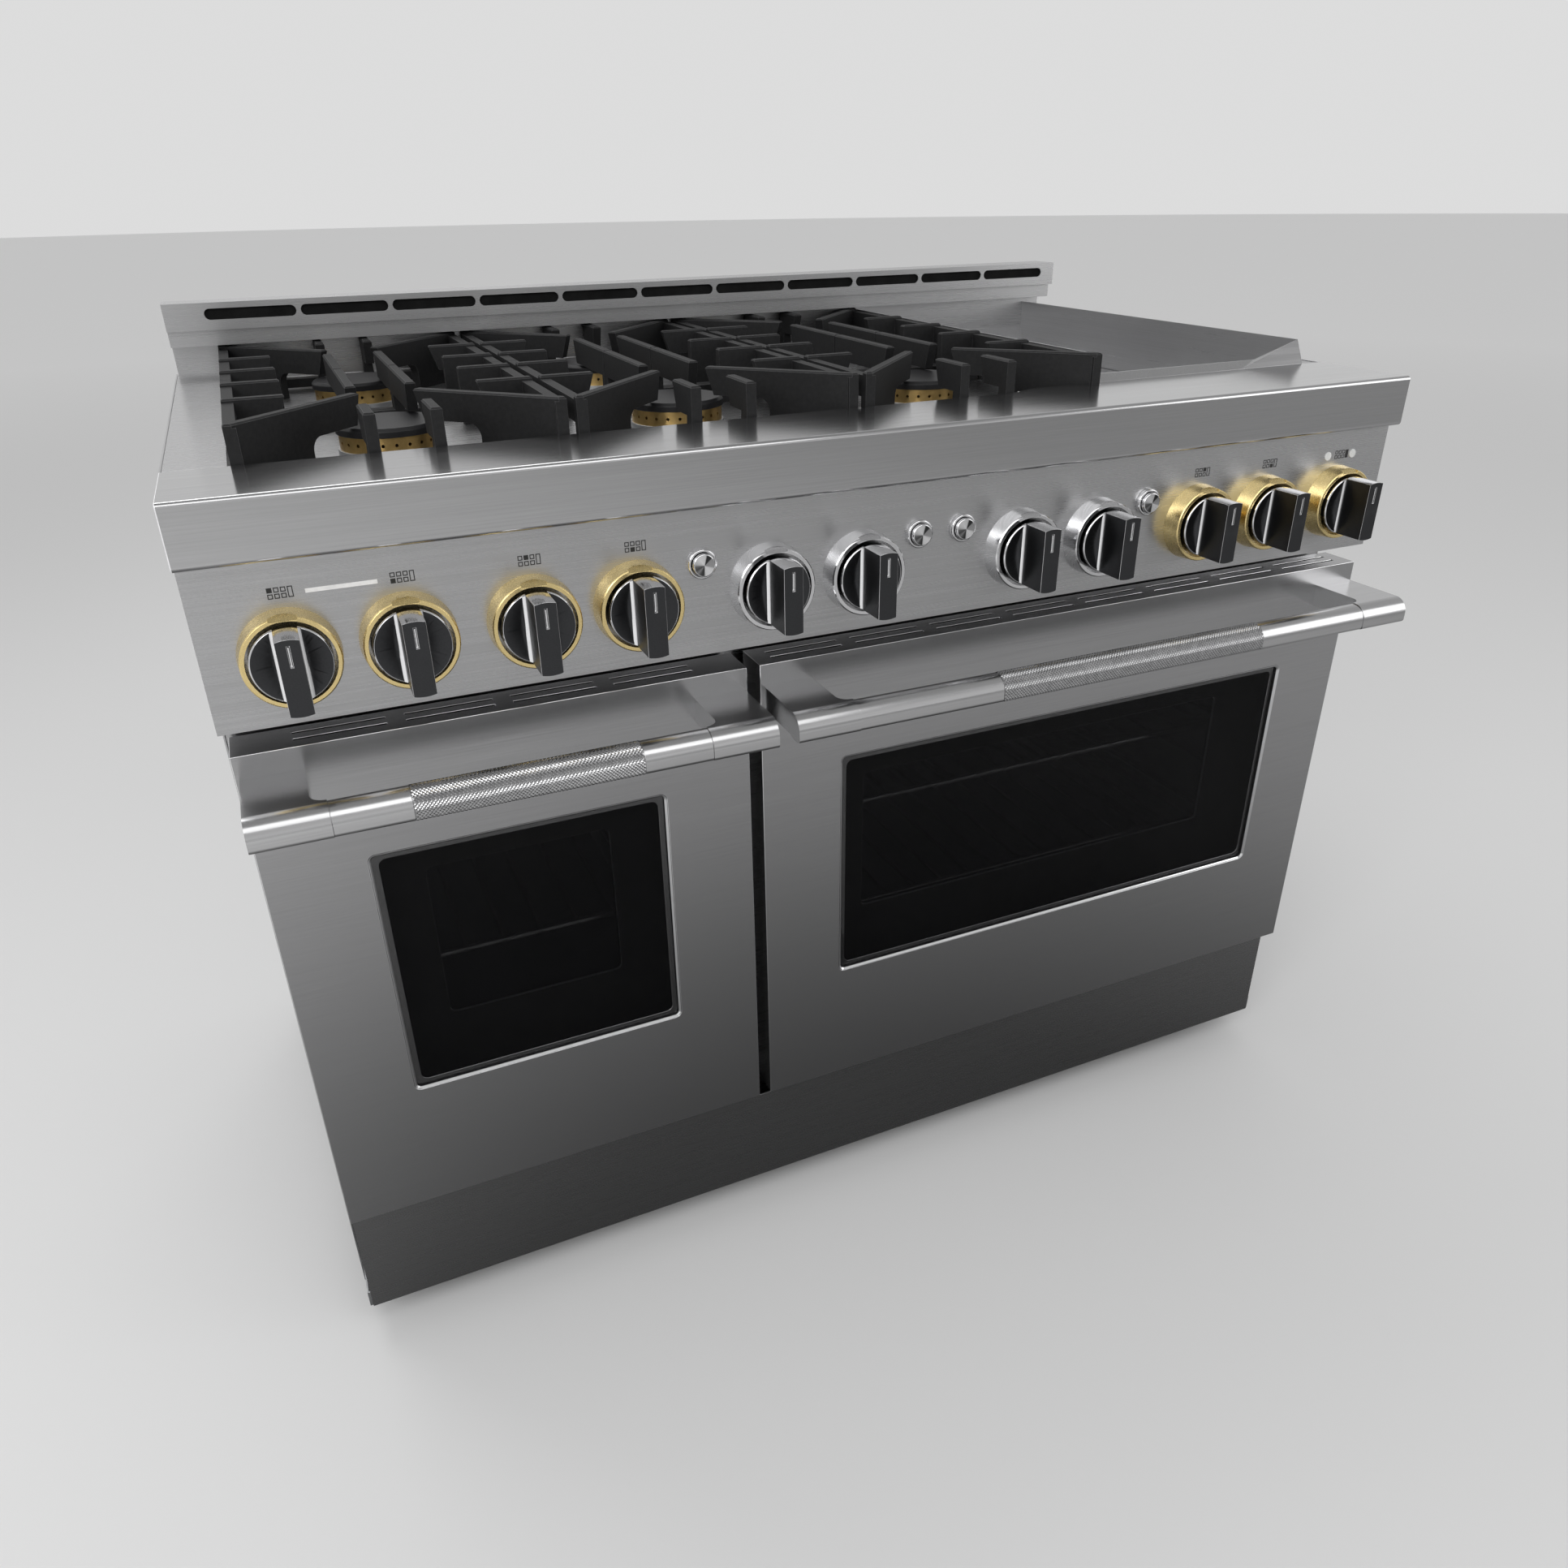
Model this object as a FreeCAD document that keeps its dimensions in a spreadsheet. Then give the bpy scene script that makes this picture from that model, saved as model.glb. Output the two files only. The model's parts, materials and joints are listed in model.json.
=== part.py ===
import FreeCAD, Part
import os
import Sketcher
from FreeCAD import Vector, Rotation

# Commercial gas range: six open burners, a griddle and two ovens, about 48 inches wide.
# +X is the cook's right, +Y the back, +Z up; the origin is on the floor, in the middle.

doc = FreeCAD.newDocument("GasRange")

# Driving dimensions, millimetres and degrees

DIMENSIONS = dict(
    # whole range
    width=1216, depth=702, handle_reach=66, rail_top=914, sheet=2, seam=0.3,
    # landing rail in front of the burners
    rail_depth=111, rail_height=51, rail_round=4, griddle_rail_extra=14,
    rail_step=20, rail_step_width=45, deck_tuck=16,
    # control panel
    panel_setback=14, panel_height=135, panel_end_gap=1,
    # doors
    door_setback=17, vent_gap=21, door_height=521, door_thickness=50, door_edge=5, door_gap=13,
    left_door_width=445, door_sheet=1.5, door_flange=8, liner_thickness=7, liner_step=4,
    window_side=86, window_above=113.5, window_below=142.5, window_radius=7, glass=4, glass_fit=0.3,
    inner_glass_inset=40, glass_seat=8, vent_slot_length=75, vent_slot_pitch=91,
    vent_slot_width=3.5, vent_row=14,
    # door handles
    bar_height=26, bar_thickness=19, bar_drop=21, bar_round=16, bar_round_low=4, bar_end_gap=3,
    post_width=50, post_shoulder=12, post_height=24, post_round=12, grip_share=0.43,
    right_grip_shift=6, grip_relief=0.8,
    # door hinges
    hinge_rise=12, hinge_inset=25, hinge_pin=8, pin_clearance=0.05, bracket=8, bracket_round=7,
    bracket_gap=2, ear=12, ear_round=8, bracket_from_edge=70,
    # front frame, cabinet and legs
    frame_setback=75, frame_sheet=3, kick_setback=36, kick_height=125, leg_height=43,
    leg_stem=8, foot_radius=19, foot_height=14, leg_inset=60, base_flange=20,
    # ovens
    oven_side=43, oven_above=50, oven_height=400, oven_depth=560, oven_wall=2, gasket=6,
    gasket_margin=4, frame_above=30,
    ledge_height=8, ledge_reach=12, ledge_first=77, ledge_spacing=69, ledges=4,
    # oven racks
    rack_wire=5, rack_bar=8, rack_pitch=38, rack_gap=3, rack_depth=515, rack_rear_gap=8,
    # burner deck
    deck_drop=26, deck_rear_drop=10, left_margin=48, burner_hole=30,
    # grates
    grate_pitch=284, grate_margin=190, grate_width=276, grate_front=114, grate_length=574,
    grate_top=31, finger=10, finger_depth=27, frame_drop=3.5, frame_depth=20, grate_split=2,
    side_finger=53, side_finger_offset=46.5, burner_offset=148.5, long_finger_offset=27,
    long_finger=131, short_finger=52, arm_tip=170, arm_arch=70, arm_arch_round=12, leg_depth=57,
    finger_bevel=1.5, tip_slant=9, leg_draft=1.5, tie_lift=4,
    # burners
    cap_radius=48, cap_height=8.5, cap_bevel=3, ring_radius=46, ring_height=14, ring_wall=9,
    port=3, ports=12, burner_flange=5, burner_neck=27, neck_length=30,
    # griddle
    griddle_gap=4, griddle_wall_top=28, guard_top=25, guard_inset=28, griddle_floor=47,
    griddle_ledge=18,
    griddle_plate=12, griddle_lip=7, griddle_lip_slope=10, plate_gap=3, guard_front=13,
    guard_fold=90, flange_end=3, flange_drop=1,
    # backguard
    wall_gap=12, riser_out=26, riser_bottom=33, band_out=35, band_height=29.5, band_top=80,
    backguard_foot=28, backguard_end_gap=3,
    slot_pitch=104.6, slot_length=99.5, slot_height=12, slot_centre=67.5, slot_offset=10.6,
    # knobs and bezels
    knob_drop=129, knob_radius=31, knob_front=23, knob_back=10, blade_front=55, blade=18,
    knob_dish=4.5, knob_dish_inner=11, knob_rim=2.5, pointer_width=2.2, pointer_low=9,
    pointer_high=26, hub=9, hub_length=6, bezel_outer=39, bezel_front_outer=37.5, bezel_inner=33.5,
    bezel_depth=19, notch_width=21, notch_depth=9, shaft=3, shaft_clearance=0.05,
    pair_pitch=90.5, first_pair=-541.5, second_pair=-350, last_pair=350, griddle_knob=542,
    control_end=66,
    steel_first=-135, steel_second=131.5, steel_pitch=92.5, push_travel=3,
    panel_hole=11, valve_width=26, valve_front=26, valve_height=34,
    stem_back=46, manifold_radius=11, manifold_behind=76, stem_tip_gap=8, switch=24,
    switch_depth=24,
    supply_end=128, supply_radius=10, socket_length=40, socket_depth=25, socket_radius=17,
    socket_bore=12,
    # push buttons
    button_rise=28, button_radius=10.5, button_front=9, button_cap=6, button_ring=13.5,
    button_ring_depth=5, button_fit=0.6, button_hole=6, button_travel=2.5,
    button_first=-199, button_second=18, button_third=65, button_fourth=284,
    # indicator lamps
    lamp_radius=4.5, lamp_rise=50, lamp_pitch=35.5, lamp_length=5, lamp_out=1,
)

sheet = doc.addObject("Spreadsheet::Sheet", "Sizes")
for row, (alias, number) in enumerate(DIMENSIONS.items(), start=1):
    sheet.set(f"A{row}", alias)
    sheet.set(f"B{row}", str(number))
    sheet.setAlias(f"B{row}", alias)
doc.recompute()


class Size:
    """A length that knows its value and the expression that gives it."""

    def __init__(self, value, text):
        self.value = value
        self.text = text

    def joined(self, other, sign, value):
        text = other.text if isinstance(other, Size) else f"({other})"
        return Size(value, f"({self.text} {sign} {text})")

    def __add__(self, other):
        return self.joined(other, "+", self.value + plain(other))

    def __sub__(self, other):
        return self.joined(other, "-", self.value - plain(other))

    def __rsub__(self, other):
        return -self + other

    def __mul__(self, other):
        return self.joined(other, "*", self.value * plain(other))

    def __truediv__(self, other):
        return self.joined(other, "/", self.value / plain(other))

    def __neg__(self):
        return Size(-self.value, f"(0 - {self.text})")

    __radd__ = __add__
    __rmul__ = __mul__


def plain(length):
    return length.value if isinstance(length, Size) else float(length)


def size(alias):
    return Size(float(sheet.get(alias)), f"Sizes.{alias}")


def bind(thing, prop, length):
    """Give a property its length, through the sheet where the length comes from there."""
    if isinstance(length, Size):
        thing.setExpression(prop, length.text)
    else:
        setattr(thing, prop, length)


def place(thing, at, rotation=Rotation()):
    thing.Placement = FreeCAD.Placement(Vector(*map(plain, at)), rotation)
    for axis, length in zip("xyz", at):
        if isinstance(length, Size):
            thing.setExpression(f"Placement.Base.{axis}", length.text)
    return thing


count = 0


def new(kind, name):
    global count
    count += 1
    return doc.addObject(kind, f"{name}_{count}")


def box(name, across, along, up):
    """A box between two planes on each axis."""
    solid = new("Part::Box", name)
    for prop, (low, high) in zip(("Length", "Width", "Height"), (across, along, up)):
        bind(solid, prop, high - low)
    return place(solid, (across[0], along[0], up[0]))


TURN = {
    "x": Rotation(Vector(0, 0, 1), Vector(1, 0, 0)),
    "y": Rotation(Vector(0, 0, 1), Vector(0, 1, 0)),
    "z": Rotation(),
}


def rod(name, axis, start, end, radius):
    """A cylinder from the point start to the coordinate end on its own axis."""
    solid = new("Part::Cylinder", name)
    bind(solid, "Radius", radius)
    bind(solid, "Height", end - start["xyz".index(axis)])
    return place(solid, start, TURN[axis])


def cut(name, base, *tools):
    tool = tools[0]
    if len(tools) > 1:
        tool = new("Part::Compound", name + "_tools")
        tool.Links = list(tools)
    result = new("Part::Cut", name)
    result.Base, result.Tool = base, tool
    result.Refine = True
    return result


def fuse(name, *shapes):
    result = new("Part::MultiFuse", name)
    result.Shapes = list(shapes)
    result.Refine = True
    return result


def group(name, *shapes):
    result = new("Part::Compound", name)
    result.Links = list(shapes)
    return result


PLANE = {"xz": "XZ_Plane", "yz": "YZ_Plane", "xy": "XY_Plane"}


def sketch(body, plane, points):
    """A closed outline of straight sides, every corner tied to its sizes."""
    drawing = body.newObject("Sketcher::SketchObject", body.Name + "_outline")
    face = next(f for f in body.Origin.OriginFeatures if f.Role == PLANE[plane])
    drawing.AttachmentSupport = [(face, "")]
    drawing.MapMode = "FlatFace"
    corners = [Vector(plain(u), plain(v), 0) for u, v in points]
    total = len(corners)
    for i in range(total):
        drawing.addGeometry(Part.LineSegment(corners[i], corners[(i + 1) % total]))
    for i in range(total):
        drawing.addConstraint(Sketcher.Constraint("Coincident", i, 2, (i + 1) % total, 1))
    for i, (u, v) in enumerate(points):
        for kind, line, length in (("DistanceX", -2, u), ("DistanceY", -1, v)):
            if not isinstance(length, Size) and length == 0:
                drawing.addConstraint(Sketcher.Constraint("PointOnObject", i, 1, line))
                continue
            index = drawing.addConstraint(Sketcher.Constraint(kind, -1, 1, i, 1, plain(length)))
            if isinstance(length, Size):
                drawing.setExpression(f"Constraints[{index}]", length.text)
    return drawing


def prism(name, plane, points, start, end):
    """A body padded from an outline, between two planes across it."""
    body = new("PartDesign::Body", name)
    drawing = sketch(body, plane, points)
    pad = body.newObject("PartDesign::Pad", name + "_pad")
    pad.Profile = drawing
    bind(pad, "Length", end - start)
    # the pad runs along the sketch's normal: +X, -Y or +Z
    if plane == "yz":
        place(body, (start, 0, 0))
    elif plane == "xz":
        place(body, (0, end, 0))
    else:
        place(body, (0, 0, start))
    drawing.Visibility = False
    return body


def turned(name, points, at, axis="z"):
    """A body turned from a half outline of (radius, height) about its own axis."""
    body = new("PartDesign::Body", name)
    drawing = sketch(body, "xz", points)
    revolution = body.newObject("PartDesign::Revolution", name + "_turn")
    revolution.Profile = drawing
    revolution.ReferenceAxis = (drawing, ["V_Axis"])
    revolution.Angle = 360
    return place(body, at, TURN[axis])


def rounded(name, base, radius, wanted, chamfer=False):
    """Round or chamfer the edges that the test picks."""
    doc.recompute()
    result = new("Part::Chamfer" if chamfer else "Part::Fillet", name)
    result.Base = base
    picked = [i for i, edge in enumerate(base.Shape.Edges, start=1) if wanted(edge)]
    result.Edges = [(i, plain(radius), plain(radius)) for i in picked]
    return result


def along(axis):
    """A test for straight edges that run along an axis."""
    direction = Vector(*(1.0 if a == axis else 0.0 for a in "xyz"))

    def test(edge):
        if edge.Curve.TypeId != "Part::GeomLine":
            return False
        return abs(abs(edge.tangentAt(edge.FirstParameter).dot(direction)) - 1) < 1e-6
    return test


nodes = {}


def node(name, thing):
    thing.Label = name
    nodes[name] = thing
    return thing


# Planes that many pieces share

wall = size("sheet")
half = size("width") / 2
rail_front = (size("handle_reach") - size("depth")) / 2
back = rail_front + size("depth")
top = size("rail_top")
base = size("leg_height")
rail_bottom = top - size("rail_height")
rail_back = rail_front + size("rail_depth")
griddle_front = rail_back + size("griddle_rail_extra")
panel_face = rail_front + size("panel_setback")
panel_bottom = rail_bottom - size("panel_height")
frame_face = rail_front + size("frame_setback")
frame_back = frame_face + size("frame_sheet")
door_face = rail_front + size("door_setback")
door_top = panel_bottom - size("vent_gap")
door_bottom = door_top - size("door_height")
door_shell_back = door_face + size("door_thickness") - size("liner_thickness")
door_back = door_face + size("door_thickness")
oven_top = door_top - size("oven_above")
oven_bottom = oven_top - size("oven_height")
wall_face = back - size("wall_gap")
deck_top = top - size("deck_drop")
knob_line = top - size("knob_drop")
inner_half = half - wall
LEFT_DOOR = (size("door_edge") - half, size("door_edge") - half + size("left_door_width"))
RIGHT_DOOR = (LEFT_DOOR[1] + size("door_gap"), half - size("door_edge"))


# Cabinet

def cabinet():
    sides = []
    for across in ((-half, -inner_half), (inner_half, half)):
        low = box("side_low", across, (frame_face, rail_back), (base, rail_bottom))
        high = box("side_high", across, (rail_back, back), (base, top))
        sides.append(fuse("side", low, high))
    under_ledge = box("under_ledge", (inner_half, half), (rail_back, griddle_front),
                      (top - wall, top))
    node("side_panels", group("side_walls", sides[0], cut("side_notched", sides[1], under_ledge)))

    panel = box("rear", (-inner_half, inner_half), (back - wall, back),
                (base, top - size("backguard_foot")))
    gas_hole = rod("gas_hole", "y", (half - size("supply_end"), back - wall - 1, knob_line), back + 1,
                   size("socket_radius") + 1)
    node("back_panel", cut("back_cut", panel, gas_hole))

    kick_face = rail_front + size("kick_setback")
    kick_back = kick_face + wall
    kick_end = half - size("door_edge")
    node("kick_plate", box("kick", (-kick_end, kick_end), (kick_face, kick_back),
                           (base, base + size("kick_height"))))

    tray = box("tray", (-inner_half, inner_half), (kick_back, back - wall),
               (base, base + size("base_flange")))
    hollow = box("tray_hollow", (wall - inner_half, inner_half - wall),
                 (kick_back + wall, back - wall * 2), (base + wall, base + size("base_flange") * 2))
    node("base_pan", cut("base", tray, hollow))

    stem, foot = size("leg_stem"), size("foot_radius")
    outline = [(0, 0), (foot, 0), (foot, size("foot_height") / 2), (stem, size("foot_height")),
               (stem, base), (0, base)]
    inset = size("leg_inset")
    legs = [turned("leg", outline, (x, y, 0))
            for x in (inset - half, half - inset) for y in (kick_back + inset, back - inset)]
    node("leveling_legs", group("legs", *legs))


def front_frame():
    """The plate that both ovens open through, its gaskets and the door brackets."""
    plate = box("frame_plate", (-inner_half, inner_half), (frame_face, frame_back),
                (base + size("base_flange"), panel_bottom + size("frame_above")))
    holes = [box("frame_hole", oven_across(door), (frame_face - wall, frame_back + wall),
                 (oven_bottom, oven_top)) for door in (LEFT_DOOR, RIGHT_DOOR)]
    node("front_frame", cut("frame", plate, *holes))

    gaskets = []
    margin, strip = size("gasket_margin"), size("gasket")
    for door in (LEFT_DOOR, RIGHT_DOOR):
        low, high = oven_across(door)
        outer = box("gasket_out", (low - margin - strip, high + margin + strip),
                    (door_back + size("seam"), frame_face),
                    (oven_bottom - margin - strip, oven_top + margin + strip))
        inner = box("gasket_in", (low - margin, high + margin), (door_face, frame_back),
                    (oven_bottom - margin, oven_top + margin))
        gaskets.append(cut("gasket", outer, inner))
    node("oven_gaskets", group("gaskets", *gaskets))

    brackets = [hinge_bracket(x) for door in (LEFT_DOOR, RIGHT_DOOR) for x in hinge_places(door)]
    node("hinge_brackets", group("brackets", *brackets))


def oven_across(door):
    return door[0] + size("oven_side"), door[1] - size("oven_side")


def hinge_places(door):
    return door[0] + size("bracket_from_edge"), door[1] - size("bracket_from_edge")


hinge_y = door_face + size("hinge_inset")
hinge_z = door_bottom + size("hinge_rise")
pin_reach = size("bracket") / 2 + size("bracket_gap") + size("ear")


def hinge_bracket(x):
    """A plate from the frame to the hinge line, with the pin through its nose."""
    low, high = x - size("bracket") / 2, x + size("bracket") / 2
    nose = size("bracket_round")
    plate = box("bracket_plate", (low, high), (hinge_y, frame_face),
                (hinge_z - nose, hinge_z + nose))
    eye = rod("bracket_eye", "x", (low, hinge_y, hinge_z), high, nose)
    pin = rod("bracket_pin", "x", (x - pin_reach, hinge_y, hinge_z), x + pin_reach,
              size("hinge_pin") / 2)
    return fuse("bracket", plate, eye, pin)


def oven(name, door):
    """A liner open at the front, with pressed ledges for the racks."""
    low, high = oven_across(door)
    skin = size("oven_wall")
    rear = frame_back + size("oven_depth")
    outer = box("liner_out", (low - skin, high + skin), (frame_back, rear + skin),
                (oven_bottom - skin, oven_top + skin))
    inner = box("liner_in", (low, high), (frame_face, rear), (oven_bottom, oven_top))
    shell = cut("liner", outer, inner)
    ledges = []
    for level in range(int(plain(size("ledges")))):
        height = ledge_top(level + 1)
        for across in ((low, low + size("ledge_reach")), (high - size("ledge_reach"), high)):
            ledges.append(box("ledge", across, (frame_back, rear),
                              (height - size("ledge_height"), height)))
    node(f"oven_liner_{name}", fuse(f"oven_{name}", shell, *ledges))


def ledge_top(level):
    return oven_bottom + size("ledge_first") + size("ledge_spacing") * (level - 1)


def rack(name, door, level):
    """Wires across two long bars, lying on the ledges of one level."""
    low, high = oven_across(door)
    low, high = low + size("rack_gap"), high - size("rack_gap")
    bar, wire = size("rack_bar") / 2, size("rack_wire") / 2
    rear = frame_back + size("oven_depth") - size("rack_rear_gap")
    front = rear - size("rack_depth")
    height = ledge_top(level) + size("seam") + bar
    rods = [rod("rack_end", "x", (low, y, height), high, bar) for y in (front + bar, rear - bar)]
    rods += [rod("rack_side", "y", (x, front, height), rear, bar) for x in (low + bar, high - bar)]
    total = int((plain(high) - plain(low)) / plain(size("rack_pitch")))
    step = (high - low) / total
    rods += [rod("rack_wire", "y", (low + step * i, front, height), rear, wire)
             for i in range(1, total)]
    node(f"rack_{name}", fuse(f"rack_{name}", *rods))


# Landing rail and control panel

def landing_rail():
    lip = panel_face + wall
    outer = box("rail_out", (-half, half), (rail_front, rail_back), (rail_bottom, top))
    shaped = rounded("rail_rounded", outer, size("rail_round"),
                     lambda edge: along("x")(edge)
                     and abs(edge.CenterOfMass.y - plain(rail_front)) < 1e-6)
    inner = box("rail_in", (-inner_half, inner_half), (rail_front + wall, rail_back + wall),
                (rail_bottom + wall, top - wall))
    opening = box("rail_open", (-inner_half, inner_half), (lip, rail_back + wall),
                  (rail_bottom - wall, top - wall))
    shell = cut("rail_shell", shaped, inner, opening)
    step = GRATE_CENTRES[-1] + size("rail_step")
    ledge = prism("rail_ledge", "xy", [
        (step, rail_back), (half, rail_back), (half, griddle_front),
        (step + size("rail_step_width"), griddle_front)], top - wall, top)
    seam, finger = size("seam"), size("finger")
    leg = GRATE_CENTRES[-1] + size("long_finger_offset")
    corner = GRATE_CENTRES[-1] + size("grate_width") / 2
    rooms = [box("leg_room", across, (grate_start - seam, griddle_front + wall),
                 (top - wall * 2, top + wall))
             for across in ((leg - finger, leg + finger),
                            (corner - finger * 2, corner + seam))]
    node("landing_rail", fuse("rail", shell, cut("ledge_notched", ledge, *rooms)))


def controls(*places):
    """Places along the panel, spread with its width; the outermost keeps off the panel's end."""
    spread = (half - size("control_end")) / size("griddle_knob")
    return [place * spread for place in places]


GAS_KNOBS = controls(
    size("first_pair"), size("first_pair") + size("pair_pitch"),
    size("second_pair"), size("second_pair") + size("pair_pitch"),
    size("last_pair"), size("last_pair") + size("pair_pitch"), size("griddle_knob"))
OVEN_KNOBS = controls(
    size("steel_first"), size("steel_first") + size("steel_pitch"),
    size("steel_second"), size("steel_second") + size("steel_pitch"))
BUTTONS = controls(size("button_first"), size("button_second"), size("button_third"),
                   size("button_fourth"))
button_line = knob_line + size("button_rise")
lamp_line = knob_line + size("lamp_rise")
LAMPS = [GAS_KNOBS[-1] - size("lamp_pitch") / 2, GAS_KNOBS[-1] + size("lamp_pitch") / 2]


def control_panel():
    end = half - size("panel_end_gap")
    outer = box("panel_out", (-end, end), (panel_face, frame_face), (panel_bottom, rail_bottom))
    inner = box("panel_in", (wall - end, end - wall), (panel_face + wall, frame_back),
                (panel_bottom + wall, rail_bottom + wall))
    through = panel_face - wall, panel_face + wall * 2
    holes = [rod("knob_hole", "y", (x, through[0], knob_line), through[1], size("panel_hole"))
             for x in GAS_KNOBS + OVEN_KNOBS]
    holes += [rod("button_hole", "y", (x, through[0], button_line), through[1],
                  size("button_hole")) for x in BUTTONS]
    holes += [rod("lamp_hole", "y", (x, through[0], lamp_line), through[1], size("lamp_radius"))
              for x in LAMPS]
    node("control_panel", cut("panel", outer, inner, *holes))

    lamps = [rod("lamp", "y", (x, panel_face - size("lamp_out"), lamp_line),
                 panel_face - size("lamp_out") + size("lamp_length"), size("lamp_radius"))
             for x in LAMPS]
    node("indicator_lamps", group("lamps", *lamps))


def bezel(name, x):
    """A collar round a knob, its rim cut back at the top to show the pointer."""
    inner, outer = size("bezel_inner"), size("bezel_outer")
    rim, deep = size("bezel_front_outer"), size("bezel_depth")
    collar = turned(name, [(inner, -deep), (rim - 1, -deep), (rim, 1 - deep), (outer, 0),
                           (inner, 0)], (x, panel_face, knob_line), "y")
    front = panel_face - deep
    notch = prism("notch", "yz", [
        (front - 1, knob_line + inner - 1), (front, knob_line + inner),
        (front + size("notch_depth"), knob_line + outer + 1), (front - 1, knob_line + outer + 1)],
        x - size("notch_width") / 2, x + size("notch_width") / 2)
    return cut(name, collar, notch)


def button_ring(x):
    deep, outer = size("button_ring_depth"), size("button_ring")
    inner = size("button_radius") + size("button_fit")
    return turned("button_ring", [(inner, -deep), (outer - 1, -deep), (outer, 1 - deep),
                                  (outer, 0), (inner, 0)], (x, panel_face, button_line), "y")


def bezels():
    node("brass_bezels", group("brass", *[bezel("brass_bezel", x) for x in GAS_KNOBS]))
    rings = [bezel("steel_bezel", x) for x in OVEN_KNOBS] + [button_ring(x) for x in BUTTONS]
    node("steel_bezels", group("steel", *rings))


shaft_bore = size("shaft") + size("shaft_clearance")
stem_end = panel_face + size("stem_back")


def knob(name, x, gas):
    """A disc with a tall grip blade; a gas knob has a bore for its stem, an oven knob a shaft."""
    radius = size("knob_radius")
    front, rear = panel_face - size("knob_front"), panel_face - size("knob_back")
    dished = size("knob_dish") - size("knob_front")
    disc = turned("knob_disc", [
        (0, dished), (size("knob_dish_inner"), dished),
        (radius - size("knob_rim"), -size("knob_front")), (radius - 1, -size("knob_front")),
        (radius, 1 - size("knob_front")), (radius, -size("knob_back")), (0, -size("knob_back"))],
        (x, panel_face, knob_line), "y")
    blade = new("Part::Common", "blade")
    half_blade = size("blade") / 2
    blade.Base = box("blade_slab", (x - half_blade, x + half_blade),
                     (panel_face - size("blade_front"), rear),
                     (knob_line - radius, knob_line + radius))
    blade.Tool = rod("blade_round", "y", (x, panel_face - size("blade_front"), knob_line), rear,
                     radius)
    hub = rod("hub", "y", (x, rear, knob_line), rear + size("hub_length"), size("hub"))
    slot = size("pointer_width") / 2
    face = panel_face - size("blade_front")
    pointer = box("pointer", (x - slot, x + slot), (face - 1, face + 1),
                  (knob_line + size("pointer_low"), knob_line + size("pointer_high")))
    if gas:
        bore = rod("bore", "y", (x, front + size("stem_tip_gap"), knob_line), panel_face,
                   shaft_bore)
        return node(name, cut(name, fuse("knob_body", disc, blade, hub), pointer, bore))
    shaft = rod("shaft", "y", (x, rear, knob_line), stem_end, size("shaft"))
    return node(name, cut(name, fuse("knob_body", disc, blade, hub, shaft), pointer))


def stem(name, x):
    tip = panel_face - size("knob_front") + size("stem_tip_gap") + 1
    node(name, rod(name, "y", (x, tip, knob_line), stem_end, size("shaft")))


def gas_line():
    """The manifold pipe and a valve at each gas knob, saddled on it."""
    pipe_y = panel_face + size("manifold_behind")
    radius = size("manifold_radius")
    pipe = rod("manifold", "x", (-inner_half, pipe_y, knob_line), inner_half, radius)
    valves = []
    wide, tall = size("valve_width") / 2, size("valve_height") / 2
    front = panel_face + size("valve_front")
    for x in GAS_KNOBS:
        body = box("valve_body", (x - wide, x + wide), (front, pipe_y),
                   (knob_line - tall, knob_line + tall))
        saddle = rod("valve_saddle", "x", (x - size("valve_width"), pipe_y, knob_line),
                     x + size("valve_width"), radius)
        bore = rod("valve_bore", "y", (x, front - 1, knob_line),
                   stem_end + size("push_travel") + 1, shaft_bore)
        valves.append(cut("valve", body, saddle, bore))
    supply = rod("supply", "y", (half - size("supply_end"), pipe_y, knob_line), back,
                 size("supply_radius"))
    socket_start = back - size("socket_length")
    socket = rod("supply_socket", "y", (half - size("supply_end"), socket_start, knob_line), back,
                 size("socket_radius"))
    mouth = rod("socket_bore", "y", (half - size("supply_end"), back - size("socket_depth"), knob_line),
                back + 1, size("socket_bore"))
    line = cut("supply_line", fuse("supply_pipe", pipe, supply, socket), mouth)
    node("gas_manifold", group("gas_line", line, *valves))


def oven_controls():
    """Thermostat and selector bodies, and the switches behind the push buttons."""
    near = panel_face + wall
    bodies = []
    places = [(x, knob_line, size("valve_width") / 2, stem_end + 1) for x in OVEN_KNOBS]
    places += [(x, button_line, size("switch") / 2, near + size("switch_depth")) for x in BUTTONS]
    for x, z, wide, rear in places:
        body = box("control", (x - wide, x + wide), (near, rear + wall), (z - wide, z + wide))
        bore = rod("control_bore", "y", (x, near - 1, z), rear, shaft_bore)
        bodies.append(cut("control", body, bore))
    node("oven_controls", group("controls", *bodies))


def button(name, x):
    front = panel_face - size("button_front")
    radius = size("button_radius")
    long = size("button_front") + wall + size("switch_depth") - size("button_travel") - 1
    node(name, turned(name, [
        (0, 0), (radius - 1, 0), (radius, 1), (radius, size("button_cap")),
        (size("shaft"), size("button_cap")), (size("shaft"), long), (0, long)],
        (x, front, button_line), "y"))


# Doors

def window_across(door):
    return door[0] + size("window_side"), door[1] - size("window_side")


window_low = door_bottom + size("window_below")
window_high = door_top - size("window_above")


def pane(name, across, deep, up, radius):
    slab = box(name, across, deep, up)
    return rounded(name + "_round", slab, radius, along("y"))


def inset_pane(name, across, deep, up, by, radius):
    return pane(name, (across[0] - by, across[1] + by), deep, (up[0] - by, up[1] + by), radius)


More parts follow.
